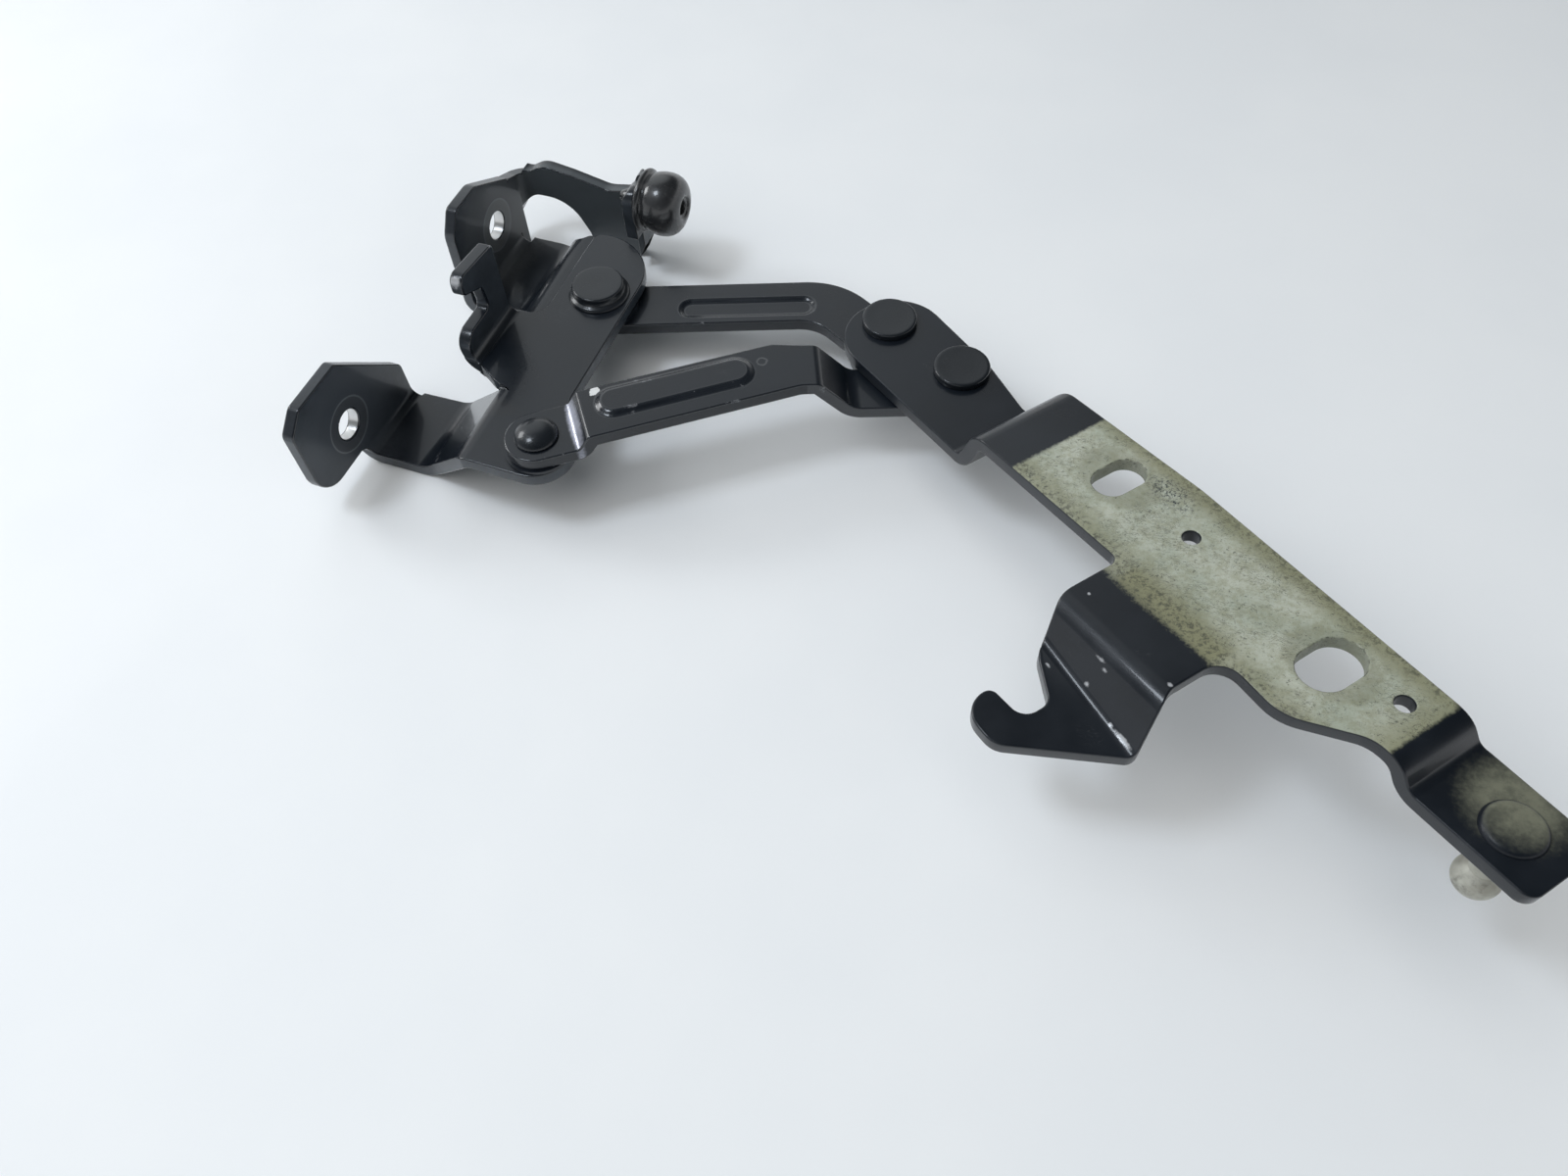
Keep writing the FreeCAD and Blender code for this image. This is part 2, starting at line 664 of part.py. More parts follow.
def behind_ear():
    """Return the space behind and below the ear's outer face, in the bracket's frame."""
    slope = math.radians(EAR_SLOPE)
    rise = math.tan(slope)
    line = [(60, HOOK_PLATE_TOP + 60 * rise, 0), (120, -60, 0), (-60, -60, 0),
            (-60, HOOK_PLATE_TOP, 0), (0, HOOK_PLATE_TOP, BEND_IN)]
    return ear_frame(slab(line, side(-60), V(120, 0, 0)))


def on_flange(shape, centre, drop=0.0):
    """Return a shape set square on the flange's top face at (along, across)."""
    moved = shape.copy()
    moved.rotate(V(0, 0, 0), V(0, 1, 0), -HOOD_TILT)
    moved.translate(V(centre[0], centre[1], flange_height(centre[0]) - drop))
    return moved


def eased_ridge(shape, radius, outer):
    """Return the ear with its upper fold rounded, on the outside or on the inside."""
    drop = 0.0 if outer else SHEET / math.cos(math.radians(HOOD_TILT))
    edges = []
    for edge in shape.Edges:
        ends = [v.Point for v in edge.Vertexes]
        if len(ends) != 2 or edge.Length < 20:
            continue
        if all(abs(flange_height(p.x) - drop - p.z) < 0.02 and p.y < -20 for p in ends):
            edges.append(edge)
    return shape.makeFillet(radius, edges) if edges else shape


def slot(length, width):
    """Return a cutter for a slot that runs across the flange."""
    side_x = width / 2
    end_y = length / 2
    r = side_x - 0.01
    corners = [(-side_x, -end_y, r), (side_x, -end_y, r), (side_x, end_y, r), (-side_x, end_y, r)]
    return plate(corners, -20, 20)


def hood_bracket():
    """Hood-side stamping, built along its own length and turned into place."""
    ear, ear_blank = hook_ear()
    strip = hood_strip()
    tongue = bent_sheet([(0, flange_height(0), 0), (120, flange_height(120), 0)], profile(-40), V(0, 40, 0))
    tongue = tongue.common(ear_blank)
    outer = joined([ear, tongue]).common(under_flange()).common(behind_ear())
    outer = eased_ridge(outer, BEND_OUT, True)
    outer = eased_ridge(outer, BEND_IN, False)
    whole = joined([strip, outer])
    for centre, length, width in SLOTS:
        whole = whole.cut(on_flange(slot(length, width), centre))
    for centre in LOCATING_HOLES:
        whole = whole.cut(on_flange(disc((0, 0), LOCATING_R, -20, 20), centre))
    whole = whole.cut(on_flange(disc((0, 0), SHANK_R, -20, 20), BALL_AT, END_STEP))
    whole = placed(whole, HOOD_ORIGIN, HOOD_AZIMUTH)
    for centre in (REAR_HOOD_PIVOT, FRONT_HOOD_PIVOT):
        whole = whole.cut(disc(centre, SHANK_R + PRESS_GAP, HOOD_BOTTOM - 1, HOOD_TOP + 1))
    return whole


def ball_stud():
    """Gas-strut ball stud riveted through the lowered end of the hood bracket."""
    under = -SHEET
    shank = SHANK_R - PRESS_GAP
    neck = 3.0
    ball = under - BALL_DROP
    drop = math.sqrt(BALL_R ** 2 - neck ** 2)
    edges = [
        Part.makeLine(V(0, 0, 1.3), V(4.6, 0, 1.3)),
        Part.Arc(V(4.6, 0, 1.3), V(6.0, 0, 0.9), V(6.5, 0, 0)).toShape(),
        Part.makeLine(V(6.5, 0, 0), V(shank, 0, 0)),
        Part.makeLine(V(shank, 0, 0), V(shank, 0, under)),
        Part.makeLine(V(shank, 0, under), V(7.0, 0, under)),
        Part.makeLine(V(7.0, 0, under), V(7.0, 0, under - 3)),
        Part.makeLine(V(7.0, 0, under - 3), V(neck + 1, 0, under - 4.5)),
        Part.makeLine(V(neck + 1, 0, under - 4.5), V(neck, 0, ball + drop)),
        Part.Arc(V(neck, 0, ball + drop), V(BALL_R, 0, ball), V(0, 0, ball - BALL_R)).toShape(),
        Part.makeLine(V(0, 0, ball - BALL_R), V(0, 0, 1.3)),
    ]
    stud = Part.Face(Part.Wire(edges)).revolve(V(0, 0, 0), V(0, 0, 1), 360)
    return placed(on_flange(stud, BALL_AT, END_STEP), HOOD_ORIGIN, HOOD_AZIMUTH)


# ---- rivets and rings ------------------------------------------------------------
def ring(centre, inner, outer, low, high):
    """Return a washer or sleeve."""
    return disc(centre, outer, low, high).cut(disc(centre, inner, low - 1, high + 1))


def rivet(centre, head, low):
    """Return a rivet: a turned head profile, a plain shank and a closed-up end."""
    bottom = low - CLOSING_RISE
    edges = list(head)
    start = head[-1].Vertexes[-1].Point
    path = [
        start,
        V(SHANK_R, 0, start.z),
        V(SHANK_R, 0, low),
        V(CLOSING_R, 0, low),
        V(CLOSING_R, 0, bottom + 0.8),
        V(CLOSING_R - 0.8, 0, bottom),
        V(0, 0, bottom),
        head[0].Vertexes[0].Point,
    ]
    for a, b in zip(path, path[1:]):
        edges.append(Part.makeLine(a, b))
    solid = Part.Face(Part.Wire(edges)).revolve(V(0, 0, 0), V(0, 0, 1), 360)
    solid.translate(V(centre[0], centre[1], 0))
    return solid


def flat_head(seat, rise, collar=0.0):
    """Return the outline of a flat head with a rounded rim and an optional collar."""
    top = seat + rise
    round_r = 0.4
    lower = seat + (1.2 if collar else 0.0)
    edges = [
        Part.makeLine(V(0, 0, top), V(HEAD_R - round_r, 0, top)),
        Part.Arc(V(HEAD_R - round_r, 0, top), V(HEAD_R - 0.12, 0, top - 0.12),
                 V(HEAD_R, 0, top - round_r)).toShape(),
        Part.makeLine(V(HEAD_R, 0, top - round_r), V(HEAD_R, 0, lower)),
    ]
    if collar:
        edges.append(Part.makeLine(V(HEAD_R, 0, lower), V(collar - 0.4, 0, lower)))
        edges.append(Part.makeLine(V(collar - 0.4, 0, lower), V(collar, 0, seat)))
    return edges


def dome_head(seat):
    """Return the outline of a domed head."""
    rim = seat + 0.8
    top = seat + DOME_RISE
    mid = V(DOME_R * 0.72, 0, rim + (top - rim) * 0.76)
    return [
        Part.Arc(V(0, 0, top), mid, V(DOME_R, 0, rim)).toShape(),
        Part.makeLine(V(DOME_R, 0, rim), V(DOME_R, 0, seat)),
    ]


def bush(centre, low):
    """Return the plain bush pressed into a link's eye."""
    return ring(centre, SHANK_R + RUNNING_GAP, EYE_R - PRESS_GAP, low, low + SHEET)


def build():
    """Return every node's shape by name."""
    front_low = WEB_TOP + WASHER
    hood_link = HOOD_BOTTOM - WASHER - SHEET
    rear_low = REAR_ARM_TOP - SHEET
    inner = SHANK_R + PRESS_GAP
    nodes = {
        "body_bracket": body_bracket(),
        "rear_arm": rear_arm(),
        "bump_stop": bump_stop(),
        "front_link": front_link(),
        "rear_link": rear_link(),
        "hood_bracket": hood_bracket(),
        "ball_stud": ball_stud(),
        "front_body_rivet": rivet((0, 0), dome_head(front_low + SHEET), WEB_BOTTOM),
        "rear_body_rivet": rivet(REAR_BODY_PIVOT, flat_head(WEB_TOP, 4.0, COLLAR_R), rear_low),
        "front_hood_rivet": rivet(FRONT_HOOD_PIVOT, flat_head(HOOD_TOP, HEAD_RISE), hood_link),
        "rear_hood_rivet": rivet(REAR_HOOD_PIVOT, flat_head(HOOD_TOP, HEAD_RISE), rear_low - WASHER),
        "front_body_bush": bush((0, 0), front_low),
        "rear_body_bush": bush(REAR_BODY_PIVOT, rear_low),
        "front_hood_bush": bush(FRONT_HOOD_PIVOT, hood_link),
        "rear_hood_bush": ring(REAR_HOOD_PIVOT, inner, inner + SLEEVE_WALL, rear_low, REAR_ARM_TOP),
        "front_body_washer": ring((0, 0), inner, WASHER_R, WEB_TOP, front_low),
        "rear_body_washer": ring(REAR_BODY_PIVOT, inner, REAR_WASHER_R, REAR_ARM_TOP, WEB_BOTTOM),
        "front_hood_washer": ring(FRONT_HOOD_PIVOT, inner, 8.6, HOOD_BOTTOM - WASHER, HOOD_BOTTOM),
        "rear_hood_retainer": ring(REAR_HOOD_PIVOT, inner, RETAINER_R, rear_low - WASHER, rear_low),
    }
    spacer = ring(REAR_HOOD_PIVOT, inner, CLOSING_R, REAR_ARM_TOP + WASHER, HOOD_BOTTOM)
    foot = ring(REAR_HOOD_PIVOT, inner, FOOT_R, REAR_ARM_TOP, REAR_ARM_TOP + WASHER)
    nodes["rear_hood_spacer"] = joined([spacer, foot])
    return nodes


def main():
    """Write one STEP file per node."""
    os.makedirs("parts", exist_ok=True)
    for name, shape in build().items():
        solids = shape.Solids
        if not solids:
            raise RuntimeError("no solid in " + name)
        out = solids[0] if len(solids) == 1 else Part.makeCompound(solids)
        out.translate(V(SHEET - TAB_X, -FRONT_BOLT_Y, -BOLT_Z))
        print(name, len(solids), "solid(s)", "valid" if out.isValid() else "INVALID", round(out.Volume, 1))
        out.exportStep("parts/" + name + ".step")


main()
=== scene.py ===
"""Looks of a pressed-steel bonnet hinge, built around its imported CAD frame.

Sizes are in millimetres unless a name says otherwise. Places are in the hinge's
own frame: X along the axes of the body bolts, Y from the front bolt to the rear
one, Z along the rivets, and the origin in the front bolt hole on its seating face.
"""
from __future__ import annotations

import json
import logging
import math
from dataclasses import dataclass, field
from enum import Enum
from typing import Callable, Sequence, Union

import bmesh
import bpy
from mathutils import Euler, Matrix, Vector

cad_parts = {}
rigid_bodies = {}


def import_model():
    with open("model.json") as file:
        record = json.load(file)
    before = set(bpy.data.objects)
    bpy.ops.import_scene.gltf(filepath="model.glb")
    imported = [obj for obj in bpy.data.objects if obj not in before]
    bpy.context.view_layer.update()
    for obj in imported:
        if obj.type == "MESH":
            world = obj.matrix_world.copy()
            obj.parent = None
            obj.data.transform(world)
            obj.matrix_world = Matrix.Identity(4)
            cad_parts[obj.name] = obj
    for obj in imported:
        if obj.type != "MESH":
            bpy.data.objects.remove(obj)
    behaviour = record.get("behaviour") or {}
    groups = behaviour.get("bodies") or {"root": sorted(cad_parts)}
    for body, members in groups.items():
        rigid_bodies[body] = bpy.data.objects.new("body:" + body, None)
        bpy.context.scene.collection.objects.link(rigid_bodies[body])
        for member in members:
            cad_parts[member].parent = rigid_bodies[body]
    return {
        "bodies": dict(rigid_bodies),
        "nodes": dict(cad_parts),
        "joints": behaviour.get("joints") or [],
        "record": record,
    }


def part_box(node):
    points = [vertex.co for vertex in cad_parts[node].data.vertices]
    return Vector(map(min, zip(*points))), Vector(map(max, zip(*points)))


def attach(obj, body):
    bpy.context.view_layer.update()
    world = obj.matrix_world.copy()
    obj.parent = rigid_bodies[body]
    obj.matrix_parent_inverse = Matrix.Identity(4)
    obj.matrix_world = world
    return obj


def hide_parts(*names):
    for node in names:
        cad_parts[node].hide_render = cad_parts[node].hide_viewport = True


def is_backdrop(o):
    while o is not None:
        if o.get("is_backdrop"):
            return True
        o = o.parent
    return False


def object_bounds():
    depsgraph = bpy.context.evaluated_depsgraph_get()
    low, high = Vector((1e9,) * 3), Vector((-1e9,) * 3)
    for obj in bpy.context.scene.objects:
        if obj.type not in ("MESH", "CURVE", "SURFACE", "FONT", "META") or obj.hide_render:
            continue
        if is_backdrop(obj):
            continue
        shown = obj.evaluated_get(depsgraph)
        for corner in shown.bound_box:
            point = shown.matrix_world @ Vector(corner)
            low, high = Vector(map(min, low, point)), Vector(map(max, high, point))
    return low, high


LOG = logging.getLogger("bonnet_hinge")
MM = 0.001
UP = Vector((0.0, 0.0, 1.0))
Colour = tuple[float, float, float]
Point = tuple[float, float, float]
Pair = tuple[float, float]
Outline = tuple[Pair, ...]
Socket = bpy.types.NodeSocket
Sockets = bpy.types.bpy_prop_collection
Value = Union[Socket, Sequence[float], float, str, None]


class Slot(Enum):
    """Material slots of the record."""

    BLACK = "black_coat"
    RUBBER = "rubber"


class Body(Enum):
    """Moving bodies of the hinge."""

    FIXED = "body"
    FRONT = "front_link"
    REAR = "rear_link"
    HOOD = "hood"


class Skin(Enum):
    """Finishes of the hinge and its worktop, by material name."""

    PLAIN = "black_coat"
    TABS = "black_coat_tabs"
    LINK = "black_coat_link"
    RIVET = "black_coat_rivet"
    FLANGE = "black_coat_flange"
    EDGE = "black_coat_edge"
    BRIGHT_EDGE = "black_coat_edge_bright"
    RUBBER = "moulded_rubber"
    ZINC = "zinc_plate"
    STUD = "pale_zinc"
    BRONZE = "sintered_bronze"
    WORKTOP = "worktop"


# ---- places on the hinge ----------------------------------------------------
LINK_TURN = 36.6            # turn of the front link's long arm about Z, degrees
SEAT_ALONG = 78.0           # the hood seat's place on the flange, along it
SEAT_ACROSS = 5.0           # and across it
STOP_BEAD = 8.0             # how far the stop's bead reaches behind its plate's outer face
SHANK_R = 3.59              # radius of the rivets' shanks


def unit(turn_deg: float) -> Vector:
    """Return the level unit vector at a turn about Z."""
    return Vector((math.cos(math.radians(turn_deg)), math.sin(math.radians(turn_deg)), 0.0))


def to_tenths(metres: Sequence[float]) -> Point:
    """Return a place in millimetres, rounded to a tenth, because round CAD faces are facets."""
    return tuple(round(value / MM, 1) for value in metres)


@dataclass(frozen=True)
class Flange:
    """The hood bracket's flange, a slanted face measured along and across.

    Args:
        start: where its top face begins.
        turn: its turn about Z, degrees.
        rise: its rise along its length, degrees.
        slots: places of its two slots, along and across.
    """

    start: Point
    turn: float
    rise: float
    slots: tuple[Pair, Pair]

    @classmethod
    def read(cls, mounts: dict[str, dict]) -> "Flange":
        """Return the flange that the record's seat and slots describe.

        Args:
            mounts: the record's mounts, by name.
        Returns:
            The flange.
        """
        seat = mounts["hood_seat"]
        lean = Vector(seat["axis"])
        turn, rise = math.degrees(math.atan2(-lean.y, -lean.x)), math.degrees(math.acos(lean.z))
        forward, across = unit(turn), unit(turn + 90.0)
        start = Vector(seat["pos_m"]) / MM - forward * SEAT_ALONG - across * SEAT_ACROSS
        start.z -= SEAT_ALONG * math.tan(math.radians(rise))
        ways = [Vector(mounts[name]["pos_m"]) / MM - start for name in ("hood_slot_near", "hood_slot_far")]
        return cls(tuple(start), turn, rise, tuple((way.dot(forward), way.dot(across)) for way in ways))

    @property
    def forward(self) -> Vector:
        """Level direction along the flange."""
        return unit(self.turn)

    @property
    def across(self) -> Vector:
        """Level direction across the flange."""
        return unit(self.turn + 90.0)

    @property
    def upward(self) -> Vector:
        """Direction square to the flange, as long as measures plain height above it."""
        return UP - self.forward * math.tan(math.radians(self.rise))

    def point(self, s: float, w: float, height: float = 0.0) -> Point:
        """Return a point of the flange.

        Args:
            s: distance along it.
            w: distance across it.
            height: height above its top face.
        Returns:
            The point.
        """
        point = Vector(self.start) + self.forward * s + self.across * w
        point.z += s * math.tan(math.radians(self.rise)) + height
        return tuple(point)


@dataclass(frozen=True)
class Places:
    """The places that looks and turned parts are set from.

    Args:
        front_pivot: front body pivot, at the height of the web's top face.
        rear_pivot: rear body pivot, at that height.
        front_hood_pivot: front hood pivot, at that height.
        rear_hood_pivot: rear hood pivot, at that height.
        rear_bolt: rear bolt hole on its seating face.
        stop_face: where the stop's axis leaves its plate's outer face.
        flange: the hood bracket's flange.
    """

    front_pivot: Point
    rear_pivot: Point
    front_hood_pivot: Point
    rear_hood_pivot: Point
    rear_bolt: Point
    stop_face: Point
    flange: Flange

    @classmethod
    def read(cls, frame: dict) -> "Places":
        """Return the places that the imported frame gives.

        Args:
            frame: the loaded frame.
        Returns:
            The places.
        """
        record = frame["record"]
        joints = {joint["name"]: joint["pos_m"] for joint in record["behaviour"]["joints"]}
        mounts = {mount["name"]: mount for mount in record["mounts"]}
        web_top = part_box("front_body_washer")[0].z
        sleeve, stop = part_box("rear_hood_bush"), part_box("bump_stop")
        pivots = [joints[name] for name in ("front_body_pivot", "rear_body_pivot", "front_hood_pivot")]
        pivots.append((sleeve[0] + sleeve[1]) / 2.0)
        face = (stop[0].x + STOP_BEAD * MM, (stop[0].y + stop[1].y) / 2.0, (stop[0].z + stop[1].z) / 2.0)
        return cls(*(to_tenths((place[0], place[1], web_top)) for place in pivots),
                   rear_bolt=to_tenths(mounts["rear_body_bolt"]["pos_m"]), stop_face=to_tenths(face),
                   flange=Flange.read(mounts))


# ---- shader graphs ------------------------------------------------------------
class Graph:
    """Adds and joins nodes in one shader tree."""

    def __init__(self, tree: bpy.types.NodeTree) -> None:
        """Start on a tree."""
        self.tree = tree

    def add(self, kind: str, **settings: Value) -> bpy.types.Node:
        """Return a new node.

        Args:
            kind: the node's type name.
            settings: properties set on the node.
        Returns:
            The node.
        """
        node = self.tree.nodes.new(kind)
        for key, value in settings.items():
            setattr(node, key, value)
        return node

    def feed(self, socket: Socket, value: Value) -> None:
        """Link a socket to another, or set its value.

        Args:
            socket: the input to fill.
            value: a socket, a number, a colour or None to leave it.
        """
        if isinstance(value, Socket):
            self.tree.links.new(value, socket)
        elif value is not None:
            socket.default_value = value

    def maths(self, operation: str, a: Value, b: Value = None, clamp: bool = False) -> Socket:
        """Return the result of a Math node.

        Args:
            operation: the node's operation.
            a: first operand.
            b: second operand, if it has one.
            clamp: keep the result between 0 and 1.
        Returns:
            The output socket.
        """
        node = self.add("ShaderNodeMath", operation=operation, use_clamp=clamp)
        self.feed(node.inputs[0], a)
        self.feed(node.inputs[1], b)
        return node.outputs[0]

    def plus(self, a: Value, b: Value) -> Socket:
        """Return a sum."""
        return self.maths("ADD", a, b)

    def minus(self, a: Value, b: Value) -> Socket:
        """Return a difference."""
        return self.maths("SUBTRACT", a, b)

    def times(self, a: Value, b: Value) -> Socket:
        """Return a product."""
        return self.maths("MULTIPLY", a, b)

    def most(self, first: Value, *others: Value) -> Value:
        """Return the largest of several numbers.

        Args:
            first: one number.
            others: the rest.
        Returns:
            The largest.
        """
        for other in others:
            first = self.maths("MAXIMUM", first, other)
        return first

    def vector(self, operation: str, a: Value, b: Value = None, output: str = "Vector") -> Socket:
        """Return the result of a Vector Math node.

        Args:
            operation: the node's operation.
            a: first operand.
            b: second operand, if it has one.
            output: name of the output, which is Value where the result is a number.
        Returns:
            The output socket.
        """
        node = self.add("ShaderNodeVectorMath", operation=operation)
        self.feed(node.inputs[0], a)
        self.feed(node.inputs[1], b)
        return node.outputs[output]

    def scaled(self, vector: Value, factor: float) -> Socket:
        """Return a vector times a number."""
        return self.vector("MULTIPLY", vector, (factor, factor, factor))

    def dot(self, vector: Value, axis: Sequence[float]) -> Socket:
        """Return the length of a vector along an axis."""
        return self.vector("DOT_PRODUCT", vector, tuple(axis), "Value")

    def span(self, value: Value, low: Value, high: Value) -> Socket:
        """Return a smooth change from 0 at low to 1 at high; with high under low it falls.

        Args:
            value: the number to judge.
            low: where the result is 0.
            high: where the result is 1.
        Returns:
            The output socket.
        """
        node = self.add("ShaderNodeMapRange", interpolation_type="SMOOTHSTEP")
        self.feed(node.inputs["Value"], value)
        self.feed(node.inputs["From Min"], low)
        self.feed(node.inputs["From Max"], high)
        return node.outputs["Result"]

    def blend(self, factor: Value, a: Value, b: Value) -> Socket:
        """Return a mix of two colours.

        Args:
            factor: share of b.
            a: first colour.
            b: second colour.
        Returns:
            The output socket.
        """
        node = self.add("ShaderNodeMix", data_type="RGBA")
        self.feed(node.inputs[0], factor)
        for socket, colour in ((node.inputs[6], a), (node.inputs[7], b)):
            self.feed(socket, colour if isinstance(colour, Socket) else (*colour, 1.0))
        return node.outputs[2]

    def between(self, factor: Value, a: Value, b: Value) -> Value:
        """Return a mix of two numbers, or the number itself where they are the same.

        Args:
            factor: share of b.
            a: first number.
            b: second number.
        Returns:
            The output socket, or the number.
        """
        if not isinstance(a, Socket) and a == b:
            return a
        node = self.add("ShaderNodeMix", data_type="FLOAT")
        for socket, value in zip((node.inputs[0], node.inputs[2], node.inputs[3]), (factor, a, b)):
            self.feed(socket, value)
        return node.outputs[0]

    def noise(self, vector: Value, scale: Value, detail: float, rough: float) -> Socket:
        """Return the value of a Noise Texture.

        Args:
            vector: where it is asked for.
            scale: its scale.
            detail: how many finer layers it has.
            rough: how strong those layers are.
        Returns:
            The output socket.
        """
        node = self.add("ShaderNodeTexNoise")
        self.feed(node.inputs["Vector"], vector)
        self.feed(node.inputs["Scale"], scale)
        self.feed(node.inputs["Detail"], detail)
        self.feed(node.inputs["Roughness"], rough)
        return node.outputs[0]

    def patches(self, vector: Value, scale: float, detail: float, rough: float, low: float,
                high: float) -> Socket:
        """Return a noise drawn into patches: 0 where it is under low, 1 where it is over high."""
        return self.span(self.noise(vector, scale, detail, rough), low, high)

    def millimetres(self) -> Socket:
        """Return the object's own coordinates in millimetres."""
        return self.scaled(self.add("ShaderNodeTexCoord").outputs["Object"], 1.0 / MM)

    def looked_at(self) -> Socket:
        """Return 1 for what the camera, a gloss or clear glass shows, 0 for what only gives light."""
        path = self.add("ShaderNodeLightPath").outputs
        return self.most(path["Is Camera Ray"], path["Is Glossy Ray"], path["Is Transmission Ray"])


@dataclass
class SharedGroup:
    """A shader node group with named inputs and outputs, made once.

    Args:
        name: the group's name.
        inputs: name to default; a number makes a plain input, anything else a vector.
        wiring: fills the group, from its inputs to its outputs.
        outputs: names of its outputs, which are plain values.
    """

    name: str
    inputs: dict[str, Value]
    wiring: Callable[[Graph, Sockets, Sockets], None]
    outputs: tuple[str, ...] = ("Mask",)
    tree: bpy.types.NodeTree = field(init=False)

    def __post_init__(self) -> None:
        """Make the group's tree."""
        self.tree = bpy.data.node_groups.new(self.name, "ShaderNodeTree")
        for name, default in self.inputs.items():
            kind = "NodeSocketFloat" if isinstance(default, float) else "NodeSocketVector"
            socket = self.tree.interface.new_socket(name=name, in_out="INPUT", socket_type=kind)
            if default is not None:
                socket.default_value = default
        for name in self.outputs:
            self.tree.interface.new_socket(name=name, in_out="OUTPUT", socket_type="NodeSocketFloat")
        graph = Graph(self.tree)
        self.wiring(graph, graph.add("NodeGroupInput").outputs, graph.add("NodeGroupOutput").inputs)

    def use(self, graph: Graph, place: Value, **values: Value) -> Sockets:
        """Place the group in a material.

        Args:
            graph: the material's graph.
            place: the point that it is asked for.
            values: its other inputs' values or sockets, by name.
        Returns:
            Its outputs.
        """
        node = graph.add("ShaderNodeGroup")
        node.node_tree = self.tree
        for name, value in {"Vector": place, **values}.items():
            graph.feed(node.inputs[name], value)
        return node.outputs

    def mask(self, graph: Graph, place: Value, **values: Value) -> Socket:
        """Return the group's first output, placed as use does."""
        return self.use(graph, place, **values)[0]


def wire_grain(graph: Graph, given: Sockets, made: Sockets) -> None:
    """Fine orange peel of a dipped coat, and slow changes of tone."""
    graph.feed(made["Height"], graph.noise(given["Vector"], given["Fine"], 3.0, 0.6))
    graph.feed(made["Tone"], graph.span(graph.noise(given["Vector"], given["Slow"], 3.0, 0.55), 0.32, 0.68))


def wire_specks(graph: Graph, given: Sockets, made: Sockets) -> None:
    """Irregular fine specks: peaks of a rough noise, gathered where a slower one is high.

    Args:
        graph: the group's graph.
        given: the group's inputs.
        made: the group's outputs.
    """
    peaks = graph.noise(given["Vector"], given["Scale"], 6.0, 0.8)
    dots = graph.span(peaks, given["Size"], graph.plus(given["Size"], 0.07))
    cloud = graph.noise(given["Vector"], 0.17, 4.0, 0.7)
    kept = graph.span(cloud, given["Cut"], graph.plus(given["Cut"], 0.16))
    graph.feed(made["Mask"], graph.maths("MULTIPLY", dots, kept, clamp=True))


def wire_scratches(graph: Graph, given: Sockets, made: Sockets) -> None:
    """Fine curved hairlines in three directions: ridges of stretched noise.

    Args:
        graph: the group's graph.
        given: the group's inputs.
        made: the group's outputs.
    """
    bend = graph.add("ShaderNodeTexNoise")
    graph.feed(bend.inputs["Vector"], given["Vector"])
    bend.inputs["Scale"].default_value = 0.35
    place = graph.vector("ADD", given["Vector"], graph.scaled(bend.outputs["Color"], 3.5))
    lines = []
    for turn, stretch in ((0.55, 0.16), (-0.75, 0.2), (1.9, 0.12)):
        mapped = graph.add("ShaderNodeMapping")
        graph.feed(mapped.inputs["Vector"], place)
        mapped.inputs["Rotation"].default_value = (0.0, 0.0, turn)
        mapped.inputs["Scale"].default_value = (stretch, 1.0, 0.5)
        waves = graph.noise(mapped.outputs[0], given["Scale"], 2.0, 0.6)
        lines.append(graph.span(graph.maths("ABSOLUTE", graph.minus(waves, 0.5)), given["Width"], 0.0))
    kept = graph.span(graph.noise(place, 0.09, 3.0, 0.65), given["Cut"], graph.plus(given["Cut"], 0.1))
    graph.feed(made["Mask"], graph.maths("MULTIPLY", graph.most(*lines), kept, clamp=True))


def wire_round(graph: Graph, given: Sockets, made: Sockets) -> None:
    """Round or oval patch about a centre, with a soft and ragged edge.

    Args:
        graph: the group's graph.
        given: the group's inputs.
        made: the group's outputs.
    """
    away = graph.vector("SUBTRACT", given["Vector"], given["Centre"])
    reach = graph.vector("LENGTH", graph.vector("MULTIPLY", away, given["Squash"]), output="Value")
    rag = graph.minus(graph.noise(given["Vector"], 1.1, 3.0, 0.6), 0.5)
    reach = graph.plus(reach, graph.times(rag, given["Ragged"]))
    outer, inner = graph.plus(given["Radius"], given["Soft"]), graph.minus(given["Radius"], given["Soft"])
    graph.feed(made["Mask"], graph.span(reach, outer, inner))


def wire_band(graph: Graph, given: Sockets, made: Sockets) -> None:
    """Band between two values, with soft and ragged limits.

    Args:
        graph: the group's graph.
        given: the group's inputs.
        made: the group's outputs.
    """
    rag = graph.minus(graph.noise(given["Vector"], 0.9, 4.0, 0.65), 0.5)
    value = graph.plus(given["Value"], graph.times(rag, given["Ragged"]))
    low, high, soft = given["Low"], given["High"], given["Soft"]
    rise = graph.span(value, graph.minus(low, soft), graph.plus(low, soft))
    fall = graph.span(value, graph.plus(high, soft), graph.minus(high, soft))
    graph.feed(made["Mask"], graph.times(rise, fall))


